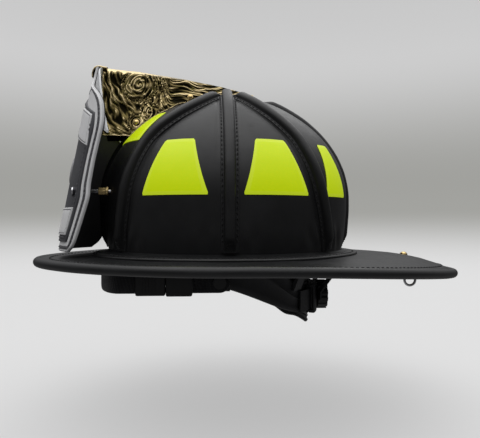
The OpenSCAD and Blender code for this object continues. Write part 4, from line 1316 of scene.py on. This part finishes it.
def chin_straps():
    z = PIVOT_Z
    left = [Vector((LOOP_X, y, z)) for y in spread(60, PIVOT_Y + 8, STRAP_LEFT_END)]
    right = [Vector((-LOOP_X, y, z)) for y in spread(110, PIVOT_Y + 8, BEND_Y)]
    right += [Vector((-LOOP_X * cos_d(b), BEND_Y - BEND_L * sin_d(b), z)) for b in spread(120, 0, 180)[1:]]
    right += [Vector((LOOP_X, y, z)) for y in spread(28, BEND_Y, STRAP_START)[1:]]
    for word, path in (("left", left), ("right", right)):
        name = f"chin_strap_{word}"
        strip(path, Vector((0, 0, 1)), WEB_W, WEB_T - 0.1, name + "_webbing", "strap", "webbing_black",
              f"chin_{word}", [name], round_end=True)
    for word, side, y in (("left", 1, -27), ("right", -1, -29)):
        to_piece(f"chin_strap_{word}_stitching", *box_stitch(side * LOOP_X, y, -19, side), "thread",
                 "webbing_black", f"chin_{word}")
    ridges = []
    for k in range(5):
        for face in (-1, 1):
            path = [Vector((LOOP_X + face * 3.4, 2.4 * k - 67, z + h)) for h in spread(8, -6.5, 6.5)]
            ridges.append(tube(path, 0.55, 8))
    to_piece("buckle_plug_grips", *join(ridges), "buckle", "buckle_plastic", "plug")


# ---- CAD nodes that keep their own shape ---------------------------------------------------------

def keep_node(node, material, width):
    """Gives a CAD node its material and softens its edges."""
    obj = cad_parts[node]
    mesh = obj.data
    mesh.materials.clear()
    mesh.materials.append(MATERIALS[material])
    for old in ("custom_normal", "sharp_face", "sharp_edge"):
        if old in mesh.attributes:
            mesh.attributes.remove(mesh.attributes[old])
    mesh.polygons.foreach_set("use_smooth", [True] * len(mesh.polygons))
    weld = obj.modifiers.new("weld", "WELD")
    weld.merge_threshold = 1e-6
    bevel = obj.modifiers.new("bevel", "BEVEL")
    bevel.width = width * MM
    bevel.segments = 3
    bevel.limit_method = "ANGLE"
    bevel.angle_limit = math.radians(32)
    bevel.harden_normals = True
    bevel.use_clamp_overlap = True


KEPT = [("brim_wire", "wire", 0.1), ("shield_posts", "steel", 0.3),
        ("shield_post_nuts", "rivet", 0.35), ("suspension_keys", "moulded", 1.0),
        ("band_hangers", "moulded", 0.3), ("ratchet_base", "moulded", 0.6),
        ("ratchet_cover", "moulded", 0.8), ("ratchet_knob", "knob", 0.8),
        ("ratchet_pinion", "moulded", 0.15), ("band_tail_left", "moulded", 0.2),
        ("band_tail_right", "moulded", 0.2), ("chin_anchors", "anchor", 0.5),
        ("buckle_socket", "buckle", 1.0), ("buckle_plug", "buckle", 1.0),
        ("postman_slide", "anchor", 0.6), ("hang_ring", "steel", 0.1), ("ring_bracket", "rivet", 0.4)]
RING_RIVET_Y = 175.7


def rear_rivet():
    y = RING_RIVET_Y
    inner, edge = foot_point(180, -LEATHER_T), edge_point(180)
    z = brim_top(180, (y - inner.y) / (edge.y - inner.y))
    head = dome_rivet(Vector((0, y, z + 0.2)), Vector((0, 0.1, 1)), 2.9, 1.5)
    to_piece("ring_rivet_head", *head, "rivet", "rivet_brass", replaces=["ring_rivet"], crease=50)


# ---- Stage ---------------------------------------------------------------------------------------

FLOOR_Z = -0.150                    # this and the stage's other lengths are in metres
BOWL_SIDES = 72
PAPER_GLOW = 1.45
AIM = Vector((0, 0, 0.05))
LAMPS = [("key", (0.45, -0.3, 1.7), 1.8, 5), ("top", (-0.2, 0.2, 2.0), 2.4, 4.5),
         ("rim", (-1.2, 0.6, 1.4), 1.0, 2.5)]          # name, place, size and power
SKY = [(0.0, 0.28), (0.40, 0.11), (0.52, 0.06), (0.72, 0.36), (0.9, 1.2)]
SKY_LOWEST, SKY_HIGHEST = 0.30, 1.2
CAMERA_PLACE, CAMERA_LENS, CAMERA_BEARING = (0.4891, -0.01546, 0.028), 37.875, 86.6


def add_object(name, data, place):
    obj = bpy.data.objects.new(name, data)
    obj.location = place
    bpy.context.scene.collection.objects.link(obj)
    return obj


def backdrop():
    """A pale bowl of floor and wall all round, lit a little from within."""
    profile = [(r, 0.0) for r in (0.2, 0.4, 0.6, 0.7)]
    profile += [(0.8 + 2.6 * sin_d(q), 2.6 * (1 - cos_d(q))) for q in range(0, 91, 5)] + [(3.4, 5.0)]
    points = [Vector((0, 0, 0))]
    points += [Vector((r * c, r * s, h)) for r, h in profile for c, s in turns(BOWL_SIDES)]
    faces = [(0, 1 + k, 1 + (k + 1) % BOWL_SIDES) for k in range(BOWL_SIDES)]
    for j in range(len(profile) - 1):
        for k in range(BOWL_SIDES):
            a, b = 1 + j * BOWL_SIDES + k, 1 + j * BOWL_SIDES + (k + 1) % BOWL_SIDES
            faces.append((a, a + BOWL_SIDES, b + BOWL_SIDES, b))
    mesh = bpy.data.meshes.new("stage_bowl")
    mesh.from_pydata(points, [], faces)
    mesh.polygons.foreach_set("use_smooth", [True] * len(mesh.polygons))
    paper = Shader("stage_paper", (0.30, 0.30, 0.30), 0.9, spec=0.1)
    height = paper.node("SeparateXYZ", {0: paper.space}).outputs["Z"]
    # painted shade: the wall is darkest from 0.22 to 0.30 m up and lightens towards the floor and towards
    # 1.3 m; the glow follows this colour
    shade = paper.maths("MULTIPLY", paper.band(height, 0.01, 0.22), paper.band(height, 1.3, 0.30))
    paper.paint(shade, (0.15, 0.15, 0.142))
    color = paper.bsdf.inputs["Base Color"].links[0].from_socket
    paper.links.new(color, paper.bsdf.inputs["Emission Color"])
    paper.bsdf.inputs["Emission Strength"].default_value = PAPER_GLOW
    mesh.materials.append(paper.mat)
    bowl = add_object("stage_bowl", mesh, (0, 0, FLOOR_Z))
    bowl.visible_shadow = False          # so that the world's soft light comes in through the bowl
    bowl.visible_diffuse = False
    bowl.visible_glossy = False


def soft_light():
    """A world that is dim at eye level, bright overhead and pale from the floor."""
    world = bpy.data.worlds.new("soft_light")
    world.use_nodes = True
    nodes, links = world.node_tree.nodes, world.node_tree.links
    ramp = nodes.new("ShaderNodeValToRGB")
    split = nodes.new("ShaderNodeSeparateXYZ")
    links.new(nodes.new("ShaderNodeTexCoord").outputs["Generated"], split.inputs[0])
    height = nodes.new("ShaderNodeMapRange")
    height.inputs["From Min"].default_value = -1.0
    links.new(split.outputs["Z"], height.inputs["Value"])
    links.new(height.outputs[0], ramp.inputs[0])
    for place, value in SKY:
        stop = ramp.color_ramp.elements.new(place)
        stop.color = (value, value, value * 1.01, 1)
    for spare in (ramp.color_ramp.elements[0], ramp.color_ramp.elements[-1]):
        value = SKY_LOWEST if spare.position < 0.5 else SKY_HIGHEST
        spare.color = (value, value, value, 1)
    links.new(ramp.outputs[0], nodes["Background"].inputs[0])
    bpy.context.scene.world = world


def lamps_and_camera():
    for name, place, size, power in LAMPS:
        light = bpy.data.lights.new(name, "AREA")
        light.size = size
        light.energy = power
        lamp = add_object(name, light, place)
        lamp.rotation_euler = (AIM - Vector(place)).to_track_quat("-Z", "Y").to_euler()
    bpy.context.scene.view_settings.view_transform = "Standard"
    camera = bpy.data.cameras.new("camera")
    camera.lens = CAMERA_LENS
    camera.sensor_width = 36.0
    viewer = add_object("camera", camera, CAMERA_PLACE)
    viewer.rotation_euler = (math.radians(90), 0, math.radians(CAMERA_BEARING))
    bpy.context.scene.camera = viewer


# ---- Build ---------------------------------------------------------------------------------------

for number in range(1, 9):
    crown_panel(number)
comb_threads = [crown_comb(number) for number in range(8)]
to_piece("comb_stitching", *join(comb_threads), "thread", "comb_leather")
to_piece("welt_stitching", *crown_welt(), "thread", "welt_leather")
to_piece("brim_stitching", *brim(), "thread", "brim_leather")
reflective_films()
crest_holder()
crest_rivets()
shield_layers()
shield_fittings()
inside()
ear_lap(1, "lap_left")
ear_lap(-1, "lap_right")
chin_straps()
rear_rivet()
for kept_node, look, softening in KEPT:
    keep_node(kept_node, look, softening)
backdrop()
soft_light()
lamps_and_camera()
